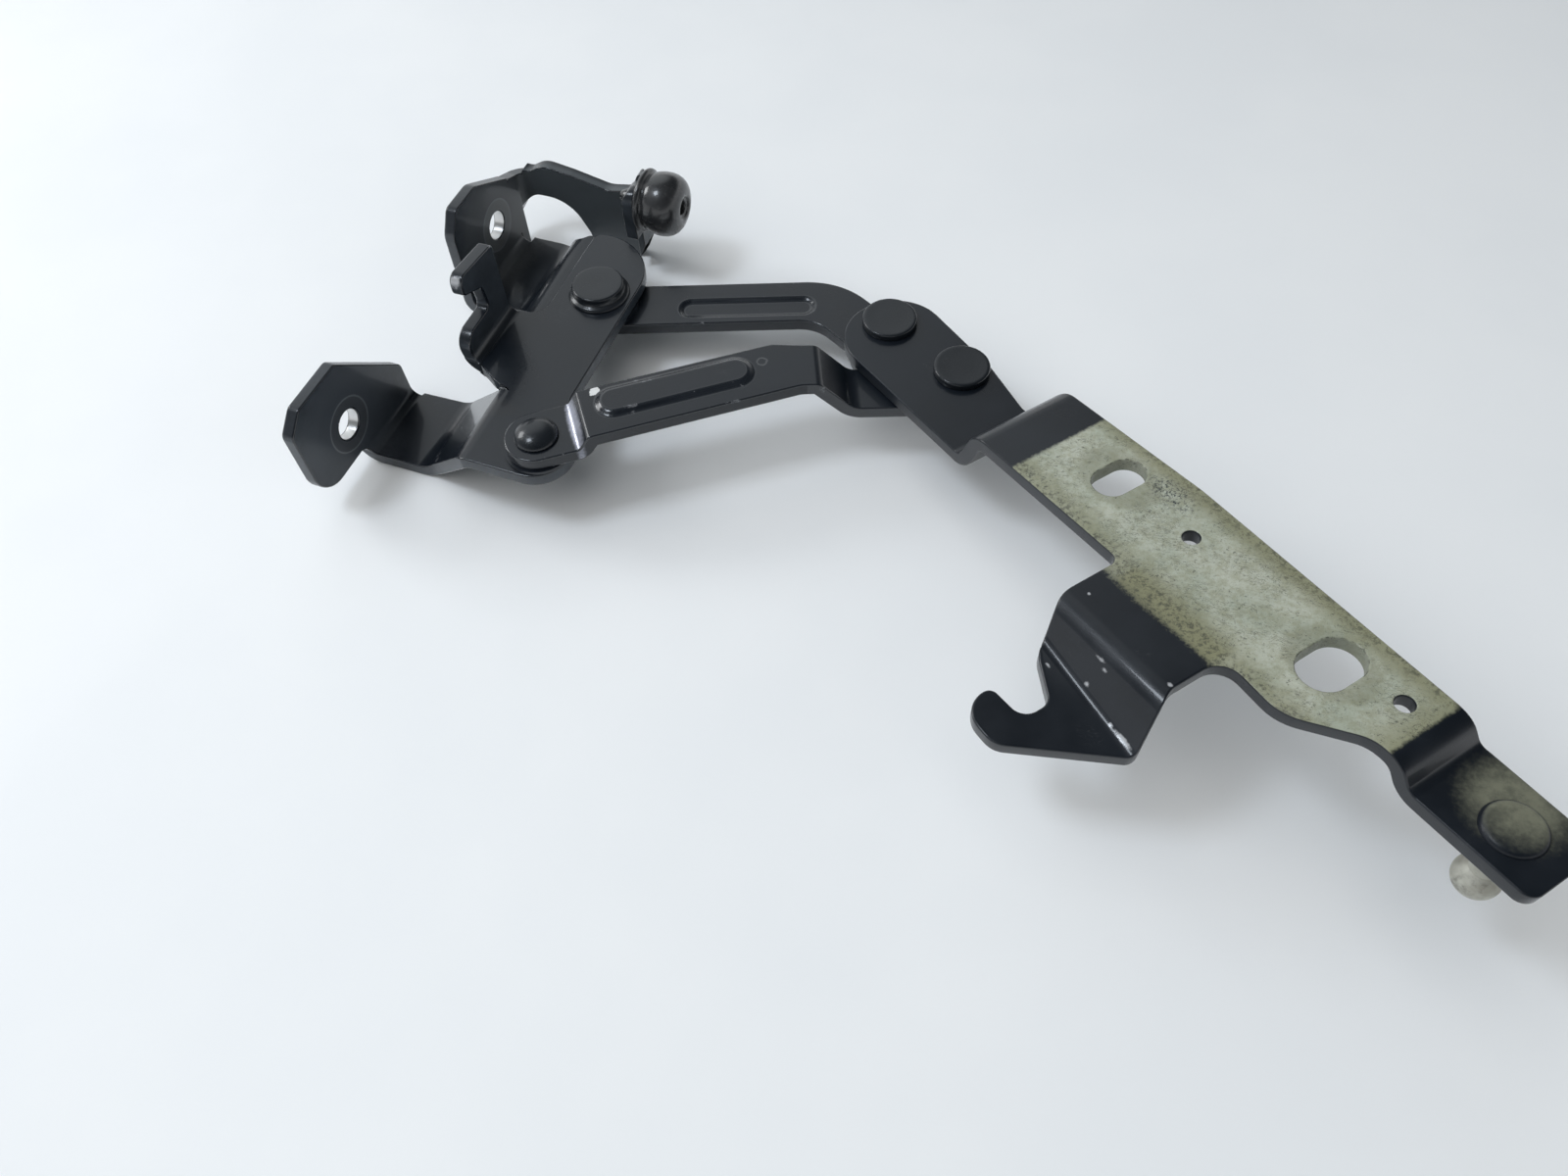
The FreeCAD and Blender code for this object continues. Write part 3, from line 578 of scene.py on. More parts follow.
class Toolbox:
    """The shader groups that more than one finish uses."""

    def __init__(self) -> None:
        """Make every group."""
        self.grain = SharedGroup(
            "coat_grain", {"Vector": None, "Fine": 2.4, "Slow": 0.06}, wire_grain, ("Height", "Tone"))
        self.specks = SharedGroup(
            "coat_specks", {"Vector": None, "Scale": 0.9, "Size": 0.6, "Cut": 0.5}, wire_specks)
        self.scratches = SharedGroup(
            "coat_scratches", {"Vector": None, "Scale": 0.9, "Width": 0.02, "Cut": 0.5}, wire_scratches)
        self.round = SharedGroup(
            "round_patch", {"Vector": None, "Centre": None, "Squash": (1.0, 1.0, 1.0), "Radius": 5.0,
                            "Soft": 0.3, "Ragged": 0.0}, wire_round)
        self.band = SharedGroup(
            "band_patch", {"Vector": None, "Value": 0.0, "Low": 0.0, "High": 1.0, "Soft": 0.5,
                           "Ragged": 0.0}, wire_band)


@dataclass
class Layers:
    """What a surface shows at each point: the values that feed its shader.

    Args:
        colour: its colour.
        roughness: its roughness.
        metallic: 1 where it is bare metal.
        height: its relief.
    """

    colour: Value
    roughness: Value
    metallic: Value
    height: Value

    def lay(self, graph: Graph, mask: Value, colour: Value, roughness: float, metallic: float = 0.0,
            sink: float = 0.0) -> "Layers":
        """Lay a patch over the surface.

        Args:
            graph: the material's graph.
            mask: where the patch is, from 0 to 1.
            colour: the patch's colour.
            roughness: its roughness.
            metallic: 1 for bare metal.
            sink: change of height under the patch.
        Returns:
            The new layers.
        """
        return Layers(graph.blend(mask, self.colour, colour),
                      graph.between(mask, self.roughness, roughness),
                      graph.between(mask, self.metallic, metallic),
                      graph.plus(self.height, graph.times(mask, sink)) if sink else self.height)


@dataclass(frozen=True)
class Finish:
    """A surface finish. Each kind gives its own layers.

    Args:
        skin: which of the finishes it is.
        coat: clear-coat weight.
        coat_roughness: roughness of that coat.
        specular: specular level.
        bump_mm: height of the surface's relief.
    """

    skin: Skin
    coat: float = 0.0
    coat_roughness: float = 0.1
    specular: float = 0.5
    bump_mm: float = 0.02

    def layers(self, graph: Graph, tools: Toolbox, place: Value) -> Layers:
        """Return the surface's layers at a place."""
        raise NotImplementedError

    def build(self, tools: Toolbox) -> bpy.types.Material:
        """Make the material.

        Args:
            tools: the shared groups.
        Returns:
            The material.
        """
        material = bpy.data.materials.new(self.skin.value)
        material.use_nodes = True
        material.node_tree.nodes.clear()
        graph = Graph(material.node_tree)
        layers = self.layers(graph, tools, graph.millimetres())
        bump = graph.add("ShaderNodeBump")
        bump.inputs["Strength"].default_value = 1.0
        bump.inputs["Distance"].default_value = self.bump_mm * MM
        graph.feed(bump.inputs["Height"], layers.height)
        shader = graph.add("ShaderNodeBsdfPrincipled")
        for name, value in (("Base Color", layers.colour), ("Roughness", layers.roughness),
                            ("Metallic", layers.metallic), ("Specular IOR Level", self.specular),
                            ("Coat Weight", self.coat), ("Coat Roughness", self.coat_roughness),
                            ("Normal", bump.outputs[0])):
            graph.feed(shader.inputs[name], value)
        graph.feed(graph.add("ShaderNodeOutputMaterial").inputs["Surface"], shader.outputs[0])
        return material


@dataclass(frozen=True)
class Patch:
    """A round or oval mark on a coat.

    Args:
        centre: its centre.
        radius: its radius.
        colour: its colour.
        roughness: its roughness.
        metallic: 1 for bare metal.
        squash: weight of each axis in the distance; 0 ignores it.
        inner: radius of a hole left in it, for a ring.
        soft: half width of its edge.
        ragged: how far its edge wanders.
        share: how strongly it shows.
        turn_deg: turn of its long axis about Z.
    """

    centre: Point
    radius: float
    colour: Colour
    roughness: float = 0.4
    metallic: float = 0.0
    squash: Point = (1.0, 1.0, 1.0)
    inner: float = 0.0
    soft: float = 0.25
    ragged: float = 0.3
    share: float = 1.0
    turn_deg: float = 0.0

    def mask(self, graph: Graph, tools: Toolbox, place: Value) -> Value:
        """Return where the patch is.

        Args:
            graph: the material's graph.
            tools: the shared groups.
            place: the shaded point, millimetres.
        Returns:
            Its mask, from 0 to 1.
        """
        if self.turn_deg:
            turned = graph.add("ShaderNodeVectorRotate", rotation_type="Z_AXIS")
            graph.feed(turned.inputs["Vector"], place)
            turned.inputs["Center"].default_value = self.centre
            turned.inputs["Angle"].default_value = -math.radians(self.turn_deg)
            place = turned.outputs[0]
        shape = {"Centre": self.centre, "Squash": self.squash, "Soft": self.soft, "Ragged": self.ragged}
        found = tools.round.mask(graph, place, Radius=self.radius, **shape)
        if self.inner:
            hole = tools.round.mask(graph, place, Radius=self.inner, **shape)
            found = graph.maths("SUBTRACT", found, hole, clamp=True)
        return graph.times(found, self.share)


@dataclass(frozen=True)
class BlackCoat(Finish):
    """Semi-gloss black dip coat with faint dust and scuffs, painted light on upright faces and local marks.

    Args:
        tone: its darker tone.
        pale: its paler tone.
        roughness: its roughness, before the small changes over the surface.
        upright_fill: how strongly painted light shows on upright faces, standing in for the light they catch.
        upright_fill_tone: the tone of that painted light.
        dust_tone: the tone of its dust specks.
        scuff_tone: the tone of its hairline scuffs.
        marks: its marks, the lowest first.
    """

    coat: float = 0.35
    coat_roughness: float = 0.08
    specular: float = 0.37
    tone: Colour = (0.0045, 0.0068, 0.0105)
    pale: Colour = (0.0078, 0.0108, 0.0155)
    roughness: float = 0.32
    upright_fill: float = 0.0
    upright_fill_tone: Colour = (0.036, 0.044, 0.054)
    dust_tone: Colour = (0.12, 0.125, 0.13)
    scuff_tone: Colour = (0.08, 0.085, 0.09)
    marks: tuple[Patch, ...] = ()

    def upright_fill_mask(self, graph: Graph, place: Value) -> Socket:
        """Return where painted light lightens upright faces, standing in for the light they catch; weaker in
        patches.

        Args:
            graph: the material's graph.
            place: the shaded point, millimetres.
        Returns:
            Its mask, from 0 to 1.
        """
        rise = graph.dot(graph.add("ShaderNodeNewGeometry").outputs["Normal"], UP)
        upright = graph.span(graph.maths("ABSOLUTE", rise), 0.7, 0.25)
        cloud = graph.patches(place, 0.16, 3.0, 0.6, 0.35, 0.6)
        return graph.times(upright, graph.between(cloud, 0.6 * self.upright_fill, self.upright_fill))

    def layers(self, graph: Graph, tools: Toolbox, place: Value) -> Layers:
        """Return the coat with its marks.

        Args:
            graph: the material's graph.
            tools: the shared groups.
            place: the shaded point, millimetres.
        Returns:
            The layers.
        """
        grain = tools.grain.use(graph, place)
        found = Layers(graph.blend(grain["Tone"], self.tone, self.pale),
                       graph.between(grain["Tone"], self.roughness - 0.05, self.roughness + 0.07),
                       0.0, grain["Height"])
        dust = tools.specks.mask(graph, place, Scale=0.7, Size=0.66, Cut=0.52)
        found = found.lay(graph, graph.times(dust, 0.3), self.dust_tone, 0.55)
        scuff = tools.scratches.mask(graph, place, Scale=0.6, Width=0.008, Cut=0.6)
        found = found.lay(graph, graph.times(scuff, 0.25), self.scuff_tone, 0.42)
        if self.upright_fill:
            # painted light: upright faces are lightened in patches, standing in for the light they catch
            found = found.lay(graph, self.upright_fill_mask(graph, place), self.upright_fill_tone, 0.36)
        for mark in self.marks:
            mask = mark.mask(graph, tools, place)
            found = found.lay(graph, mask, mark.colour, mark.roughness, mark.metallic)
        return found


@dataclass(frozen=True)
class WornEdge(Finish):
    """The same coat along cut and bent edges, rubbed through in places.

    Args:
        tone: the coat's tone.
        bare: the tone of the metal under it.
        cut: how rare the rubbed places are.
    """

    coat: float = 0.6
    coat_roughness: float = 0.08
    tone: Colour = (0.0075, 0.0105, 0.015)
    bare: Colour = (0.26, 0.27, 0.29)
    cut: float = 0.64

    def layers(self, graph: Graph, tools: Toolbox, place: Value) -> Layers:
        """Return the coat with bright worn spots.

        Args:
            graph: the material's graph.
            tools: the shared groups.
            place: the shaded point, millimetres.
        Returns:
            The layers.
        """
        grain = tools.grain.use(graph, place, Fine=3.0, Slow=0.25)
        rub = graph.patches(place, 0.12, 5.0, 0.72, self.cut, self.cut + 0.1)
        coat = Layers(self.tone, 0.26, 0.0, grain["Height"])
        return coat.lay(graph, graph.times(rub, 0.8), self.bare, 0.33, 0.85, -0.4)


@dataclass(frozen=True)
class FlangeSpot:
    """Where a shaded point lies on the hood bracket.

    Args:
        place: its place.
        s: its distance along the flange.
        w: its distance across the flange.
        facing: 1 where the surface faces up from the flange.
        slots: its distance from the middle of each slot, weighed to the slot's shape.
        near_slot: 1 in and round the slots.
    """

    place: Value
    s: Value
    w: Value
    facing: Value
    slots: tuple[Value, Value]
    near_slot: Value


@dataclass(frozen=True)
class FlangeCoat(BlackCoat):
    """Hood bracket: black coat with a bare primer area on the flange's top face.

    Args:
        flange: the flange.
        primer: the primer's tone.
        chalk: its palest clouds.
        olive: its stained edges.
        faded: the thin primer round the stud.
        grime: the dirt on it.
        soot: the smear beside the first slot.
        area: where the primer begins and ends along the flange.
        ear_limit: where it ends on the ear's side, across the flange.
        stud_patch: middle of the faded patch, along, across and above the flange.
    """

    primer: Colour = (0.345, 0.38, 0.31)
    chalk: Colour = (0.45, 0.475, 0.4)
    olive: Colour = (0.215, 0.218, 0.13)
    faded: Colour = (0.15, 0.155, 0.112)
    grime: Colour = (0.045, 0.047, 0.038)
    soot: Colour = (0.03, 0.035, 0.042)
    area: Pair = (15.6, 121.5)
    ear_limit: Pair = (-17.2, -15.4)
    stud_patch: Point = (141.5, 13.4, -6.0)
    flange: Flange = field(kw_only=True)

    def measured(self, graph: Graph, place: Value, axis: Vector) -> Socket:
        """Return the distance from the flange's start along an axis."""
        return graph.dot(graph.vector("SUBTRACT", place, self.flange.start), axis)

    @staticmethod
    def oval(graph: Graph, s: Value, w: Value, middle: Pair, squash: float) -> Socket:
        """Return the distance from a middle, along and across; squash weighs the part along."""
        ahead, aside = graph.times(graph.minus(s, middle[0]), squash), graph.minus(w, middle[1])
        return graph.maths("SQRT", graph.plus(graph.times(ahead, ahead), graph.times(aside, aside)))

    def spot(self, graph: Graph, place: Value) -> FlangeSpot:
        """Return where a place lies on the flange.

        Args:
            graph: the material's graph.
            place: the shaded point, millimetres.
        Returns:
            Its distances.
        """
        s = self.measured(graph, place, self.flange.forward)
        w = self.measured(graph, place, self.flange.across)
        normal = graph.add("ShaderNodeNewGeometry").outputs["Normal"]
        facing = graph.dot(normal, self.flange.upward.normalized())
        slots = tuple(self.oval(graph, s, w, middle, squash)
                      for middle, squash in zip(self.flange.slots, (0.75, 0.8)))
        near_slot = graph.span(graph.maths("MINIMUM", *slots), 9.4, 8.2)
        return FlangeSpot(place, s, w, facing, slots, near_slot)

    def stud_fade(self, graph: Graph, tools: Toolbox, spot: FlangeSpot) -> Socket:
        """Return where the lowered end is faded, round the stud.

        Args:
            graph: the material's graph.
            tools: the shared groups.
            spot: where the shaded point lies.
        Returns:
            The mask, from 0 to 1.
        """
        patch = tools.round.mask(graph, spot.place, Centre=self.flange.point(*self.stud_patch),
                                 Squash=(1.0, 1.0, 0.0), Radius=8.4, Soft=4.2, Ragged=4.0)
        patch = graph.times(patch, graph.span(spot.facing, 0.7, 0.95))
        cloud = graph.patches(spot.place, 0.25, 5.0, 0.7, 0.3, 0.62)
        return graph.times(patch, graph.between(cloud, 0.55, 1.0))

    def bare_area(self, graph: Graph, tools: Toolbox, spot: FlangeSpot) -> Socket:
        """Return where the primer lies bare, with a ragged limit above the ear.

        Args:
            graph: the material's graph.
            tools: the shared groups.
            spot: where the shaded point lies.
        Returns:
            The mask, from 0 to 1.
        """
        begin, end = self.area
        band = tools.band.mask(graph, spot.place, Value=spot.s, Low=begin, High=end, Soft=0.6, Ragged=1.6)
        streaks = graph.noise(graph.vector("MULTIPLY", spot.place, (1.0, 1.0, 0.2)), 1.2, 4.0, 0.75)
        fringe = graph.times(graph.minus(streaks, 0.5), 4.2)
        lowered = graph.minus(spot.w, graph.times(graph.span(spot.s, 60.0, 84.0), 1.2))
        above_ear = graph.span(graph.plus(lowered, fringe), *self.ear_limit)
        open_face = graph.most(graph.span(spot.facing, 0.6, 0.86), spot.near_slot)
        return graph.times(graph.times(band, above_ear), open_face)

    def primer_tone(self, graph: Graph, tools: Toolbox, spot: FlangeSpot) -> Socket:
        """Return the primer: chalky in the middle, olive by the ear, along the edges and at its end.

        Args:
            graph: the material's graph.
            tools: the shared groups.
            spot: where the shaded point lies.
        Returns:
            Its colour.
        """
        tone = graph.blend(graph.patches(spot.place, 0.075, 5.0, 0.62, 0.35, 0.66), self.primer, self.chalk)
        ear = tools.band.mask(graph, spot.place, Value=spot.s, Low=56.0, High=88.0, Soft=3.0, Ragged=3.0)
        by_ear = graph.times(graph.span(spot.w, -3.0, -12.0), ear)
        far_edge = graph.times(graph.span(spot.w, 11.0, 17.0), 0.85)
        near_edge = graph.times(graph.span(spot.w, -4.0, -10.5), 0.6)
        end = graph.times(graph.span(spot.s, 112.0, 122.5), 0.85)
        stain = graph.times(graph.patches(spot.place, 0.11, 4.0, 0.6, 0.55, 0.75), 0.3)
        olive = graph.most(by_ear, far_edge, near_edge, end, stain, graph.times(spot.near_slot, 0.3))
        tone = graph.blend(olive, tone, self.olive)
        mottle = graph.patches(spot.place, 0.45, 6.0, 0.75, 0.38, 0.66)
        return graph.blend(graph.times(mottle, 0.5), tone, self.olive)

    def dirt(self, graph: Graph, tools: Toolbox, spot: FlangeSpot) -> Socket:
        """Return the grime: specks, hairlines, hems round the slots and rough edges.

        Args:
            graph: the material's graph.
            tools: the shared groups.
            spot: where the shaded point lies.
        Returns:
            Its mask, from 0 to 1.
        """
        place = spot.place
        specks = tools.specks.mask(graph, place, Scale=1.0, Size=0.56, Cut=0.4)
        lines = tools.scratches.mask(graph, place, Scale=0.9, Width=0.012, Cut=0.46)
        fine = graph.patches(place, 2.6, 5.0, 0.8, 0.56, 0.66)
        edge = graph.most(graph.span(spot.w, 14.5, 18.0), graph.span(spot.w, -7.0, -11.0))
        rough_edge = graph.times(edge, graph.patches(place, 0.8, 5.0, 0.75, 0.47, 0.62))
        wander = graph.times(graph.noise(place, 0.5, 4.0, 0.7), 3.0)
        hems = graph.most(*(graph.span(graph.plus(slot, wander), 11.0, 8.8) for slot in spot.slots))
        fringe = graph.span(spot.w, -13.0, -17.0)
        shares = ((specks, 0.8), (lines, 0.7), (fine, 0.42), (rough_edge, 0.75), (hems, 0.14), (fringe, 0.5))
        return graph.most(*(graph.times(mask, share) for mask, share in shares))

    def soil(self, graph: Graph, tools: Toolbox, spot: FlangeSpot, tone: Value) -> Socket:
        """Return the primer's tone under its grime, a sooty smear and the slots' worn rims.

        Args:
            graph: the material's graph.
            tools: the shared groups.
            spot: where the shaded point lies.
            tone: the clean primer.
        Returns:
            The colour.
        """
        tone = graph.blend(self.dirt(graph, tools, spot), tone, self.grime)
        reach = graph.span(self.oval(graph, spot.s, spot.w, (44.5, 12.0), 0.45), 5.2, 1.5)
        crumbs = graph.patches(spot.place, 1.3, 6.0, 0.82, 0.5, 0.58)
        tone = graph.blend(graph.times(reach, crumbs), tone, self.soot)
        rim = graph.times(graph.span(spot.facing, 0.97, 0.85), graph.span(spot.facing, 0.3, 0.6))
        worn = graph.patches(spot.place, 0.7, 5.0, 0.75, 0.42, 0.58)
        rim = graph.times(graph.times(rim, spot.near_slot), worn)
        tone = graph.blend(graph.times(rim, 0.75), tone, self.grime)
        # darker on faces that turn away from the flange's top face, such as the slots' walls
        return graph.blend(graph.times(graph.span(spot.facing, 0.7, 0.4), 0.25), tone, self.grime)

    def layers(self, graph: Graph, tools: Toolbox, place: Value) -> Layers:
        """Return the coat, the faded patch and the primer area with its grime.

        Args:
            graph: the material's graph.
            tools: the shared groups.
            place: the shaded point, millimetres.
        Returns:
            The layers.
        """
        spot = self.spot(graph, place)
        found = super().layers(graph, tools, place)
        found = found.lay(graph, self.stud_fade(graph, tools, spot), self.faded, 0.6)
        tone = self.soil(graph, tools, spot, self.primer_tone(graph, tools, spot))
        return found.lay(graph, self.bare_area(graph, tools, spot), tone, 0.72, sink=0.5)


@dataclass(frozen=True)
class Rubber(Finish):
    """Smooth moulded black rubber with a faint bloom.

    Args:
        tone: its darker tone.
        pale: its paler tone.
        dust_tone: the dust on it.
    """

    coat: float = 0.5
    coat_roughness: float = 0.05
    tone: Colour = (0.0145, 0.0158, 0.0175)
    pale: Colour = (0.02, 0.021, 0.023)
    dust_tone: Colour = (0.12, 0.12, 0.12)

    def layers(self, graph: Graph, tools: Toolbox, place: Value) -> Layers:
        """Return the rubber and its dust.

        Args:
            graph: the material's graph.
            tools: the shared groups.
            place: the shaded point, millimetres.
        Returns:
            The layers.
        """
        grain = tools.grain.use(graph, place, Fine=1.2, Slow=0.16)
        found = Layers(graph.blend(grain["Tone"], self.tone, self.pale),
                       graph.between(grain["Tone"], 0.24, 0.34), 0.0, grain["Height"])
        dust = tools.specks.mask(graph, place, Scale=0.9, Size=0.2, Cut=0.55)
        return found.lay(graph, graph.times(dust, 0.4), self.dust_tone, 0.6)


@dataclass(frozen=True)
class Plated(Finish):
    """Dull plated or bare steel with brushed variation and stains.

    Args:
        tone: the metal's tone.
        stain: its stains.
        pit_tone: its small pits.
        metallic: 1 for bare metal, less where a dull layer covers it.
        roughness: roughness where it is clean.
    """

    tone: Colour = (0.55, 0.55, 0.53)
    stain: Colour = (0.28, 0.27, 0.24)
    pit_tone: Colour = (0.08, 0.075, 0.07)
    metallic: float = 1.0
    roughness: float = 0.36

    def layers(self, graph: Graph, tools: Toolbox, place: Value) -> Layers:
        """Return the metal and its pits.

        Args:
            graph: the material's graph.
            tools: the shared groups.
            place: the shaded point, millimetres.
        Returns:
            The layers.
        """
        grain = tools.grain.use(graph, place, Fine=2.0, Slow=0.2)
        found = Layers(graph.blend(grain["Tone"], self.stain, self.tone),
                       graph.between(grain["Tone"], self.roughness + 0.14, self.roughness),
                       self.metallic, grain["Height"])
        pits = tools.specks.mask(graph, place, Scale=1.3, Size=0.3, Cut=0.55)
        return found.lay(graph, graph.times(pits, 0.5), self.pit_tone, 0.6, 0.4, -0.5)


@dataclass(frozen=True)
class StudCoat(FlangeCoat):
    """Ball stud: coated with the bracket on its staked top, pale plate below it.

    Args:
        plate: the finish of the ball.
        collar: height above the flange's start where the dark collar begins and is full.
        top: height where the bracket's own coat begins and is full.
    """

    plate: Plated = Plated(Skin.STUD, tone=(0.5, 0.5, 0.44), stain=(0.34, 0.33, 0.28), metallic=0.3,
                           roughness=0.45)
    collar: Pair = (-17.5, -15.5)
    top: Pair = (-8.5, -7.5)

    def layers(self, graph: Graph, tools: Toolbox, place: Value) -> Layers:
        """Return the coat on top, a dark collar under the bracket and the plated ball.

        Args:
            graph: the material's graph.
            tools: the shared groups.
            place: the shaded point, millimetres.
        Returns:
            The layers.
        """
        coat = super().layers(graph, tools, place)
        rise = self.measured(graph, place, self.flange.upward)
        ball = self.plate.layers(graph, tools, place)
        ball = ball.lay(graph, graph.span(rise, *self.collar), self.tone, self.roughness)
        above = graph.span(rise, *self.top)
        return Layers(graph.blend(above, ball.colour, coat.colour),
                      graph.between(above, ball.roughness, coat.roughness),
                      graph.between(above, ball.metallic, coat.metallic), coat.height)


@dataclass(frozen=True)
class FloorSheet(Finish):
    """Pale worktop with faint clouds that runs into the pale surround far from the hinge.

    Args:
        tone: its darker tone.
        pale: its paler tone.
        surround: the surround's tone.
        middle: the point it runs out from.
        near_mm: where it begins to run into the surround.
        far_mm: where nothing of it is left.
    """

    tone: Colour = (0.80, 0.828, 0.85)
    pale: Colour = (0.825, 0.85, 0.868)
    middle: Point = (60.0, 85.0, 0.0)
    near_mm: float = 400.0
    far_mm: float = 800.0
    surround: Colour = field(kw_only=True)

    def layers(self, graph: Graph, tools: Toolbox, place: Value) -> Layers:
        """Return the worktop's clouds."""
        grain = tools.grain.use(graph, place, Fine=0.5, Slow=0.012)
        return Layers(graph.blend(grain["Tone"], self.tone, self.pale), 0.55, 0.0, grain["Height"])

    def build(self, tools: Toolbox) -> bpy.types.Material:
        """Make the material and let its far part show the surround's own tone.

        Args:
            tools: the shared groups.
        Returns:
            The material.
        """
        material = super().build(tools)
        graph = Graph(material.node_tree)
        surface = next(node for node in graph.tree.nodes if node.type == "OUTPUT_MATERIAL").inputs["Surface"]
        sheet = surface.links[0].from_socket
        reach = graph.vector("DISTANCE", graph.millimetres(), self.middle, "Value")
        glow = graph.add("ShaderNodeEmission")
        glow.inputs["Color"].default_value = (*self.surround, 1.0)
        mix = graph.add("ShaderNodeMixShader")
        share = graph.times(graph.span(reach, self.near_mm, self.far_mm), graph.looked_at())
        for socket, value in zip(mix.inputs, (share, sheet, glow.outputs[0])):
            graph.feed(socket, value)
        graph.feed(surface, mix.outputs[0])
        return material


# ---- finishes of this hinge ------------------------------------------------------
SURROUND_TONE: Colour = (0.93, 0.95, 0.97)
BOLT_PLANE: Point = (0.3, 1.0, 1.0)
RING_GREY: Colour = (0.13, 0.142, 0.155)
SILVER: Colour = (0.66, 0.66, 0.65)
STEP_HIGHLIGHT_BLUE: Colour = (0.56, 0.58, 0.68)
RUB_AND_HIGHLIGHT: Colour = (0.62, 0.64, 0.67)


def bolt_marks(centre: Point, dust: Colour, print_tone: Colour) -> tuple[Patch, ...]:
    """Return painted light on a tab's face round its hole, and the marks a flanged bolt left there.

    Args:
        centre: the hole's middle.
        dust: the tone of the pale patch round it, painted light that lightens the tab's shaded face.
        print_tone: the tone of the disc the bolt's flange pressed.
    Returns:
        The marks, lowest first.
    """
    return (
        # painted light: a pale patch that lightens the tab's face, which turns away from the lamps
        Patch(centre, 17.0, dust, 0.42, squash=(1.2, 0.8, 0.8), soft=5.0, ragged=4.0, share=0.8),
        Patch(centre, 8.6, print_tone, 0.42, squash=BOLT_PLANE, ragged=0.15, share=0.75),
        Patch(centre, 8.75, RING_GREY, 0.34, squash=BOLT_PLANE, inner=8.25, soft=0.18, ragged=0.15),
        Patch(centre, 4.75, SILVER, 0.3, 1.0, squash=BOLT_PLANE, soft=0.1, ragged=0.12),
    )


def link_marks(pivot: Point) -> tuple[Patch, ...]:
    """Return the front link's painted highlight on its step, paint chip and small scuff.

    Args:
        pivot: the front body pivot.
    Returns:
        The marks.
    """
    def at(along: float, across: float, z: float) -> Point:
        """Return a point of the link's long arm: along it, across it and its height."""
        return (*(Vector(pivot) + unit(LINK_TURN) * along + unit(LINK_TURN + 90.0) * across).xy, z)

    return (
        # painted highlight across the step, laid as bare worn metal
        Patch(at(10.7, 0.0, 8.0), 1.3, STEP_HIGHLIGHT_BLUE, 0.3, 0.9, squash=(0.9, 0.14, 0.0), soft=0.6, ragged=0.8,
              share=0.8, turn_deg=LINK_TURN),
        Patch(at(18.4, 7.2, 12.0), 1.35, (0.66, 0.68, 0.68), 0.6, squash=(1.0, 0.8, 1.0), soft=0.12,
              ragged=1.5),
        Patch(at(65.5, 3.2, 12.0), 1.6, (0.09, 0.095, 0.1), 0.5, inner=1.1, ragged=0.9, share=0.7),
    )


def ear_marks(flange: Flange) -> tuple[Patch, ...]:
    """Return bright spots and streaks on the folds of the hood bracket's ear: rubs, and painted highlights
    along the folds.

    Args:
        flange: the flange that the ear hangs from.
    Returns:
        The marks.
    """
    spots = (  # along, across, radius, squash along; a small squash makes a long streak
        (57.2, -23.5, 0.32, 1.0), (85.6, -25.5, 0.42, 0.8), (73.0, -35.5, 0.3, 0.6),
        (71.3, -31.5, 0.13, 0.2), (73.8, -32.2, 0.12, 0.3), (83.3, -37.1, 0.34, 0.6),
        (87.3, -37.25, 0.42, 0.18), (64.0, -38.9, 0.3, 0.6))
    # painted highlights along the folds, together with rubbed spots
    return tuple(Patch(flange.point(s, w), size, RUB_AND_HIGHLIGHT, 0.35, 0.5, squash=(squash, 1.0, 0.0), soft=0.2,
                       ragged=0.6, share=0.7, turn_deg=flange.turn) for s, w, size, squash in spots)


def web_marks() -> tuple[Patch, ...]:
    """Return painted light on the rear wall, the rub on the lip, and painted shade on the trough and the web.

    Returns:
        The marks, lowest first.
    """
    return (
        # painted light: lightens the rear wall, which stands in shade
        Patch((32.0, 109.0, 2.0), 32.0, (0.06, 0.071, 0.079), 0.36, squash=(0.8, 7.0, 1.0), soft=7.0,
              ragged=4.0, share=0.8),
        Patch((26.6, 36.7, 28.0), 1.0, (0.5, 0.51, 0.53), 0.4, 0.5, squash=(0.6, 1.0, 0.45), soft=0.3,
              ragged=1.2, share=0.8),
        # painted shade on the trough's slope
        Patch((30.5, 7.5, -8.0), 4.0, (0.010, 0.011, 0.012), 0.45, squash=(0.6, 1.0, 0.5), soft=1.5,
              ragged=3.0, share=0.5),
        # painted shade on the web below the hook
        Patch((43.0, 17.0, 3.1), 4.0, (0.010, 0.011, 0.013), 0.45, squash=(0.5, 1.4, 1.0), soft=1.6,
              ragged=4.0, share=0.6),
    )


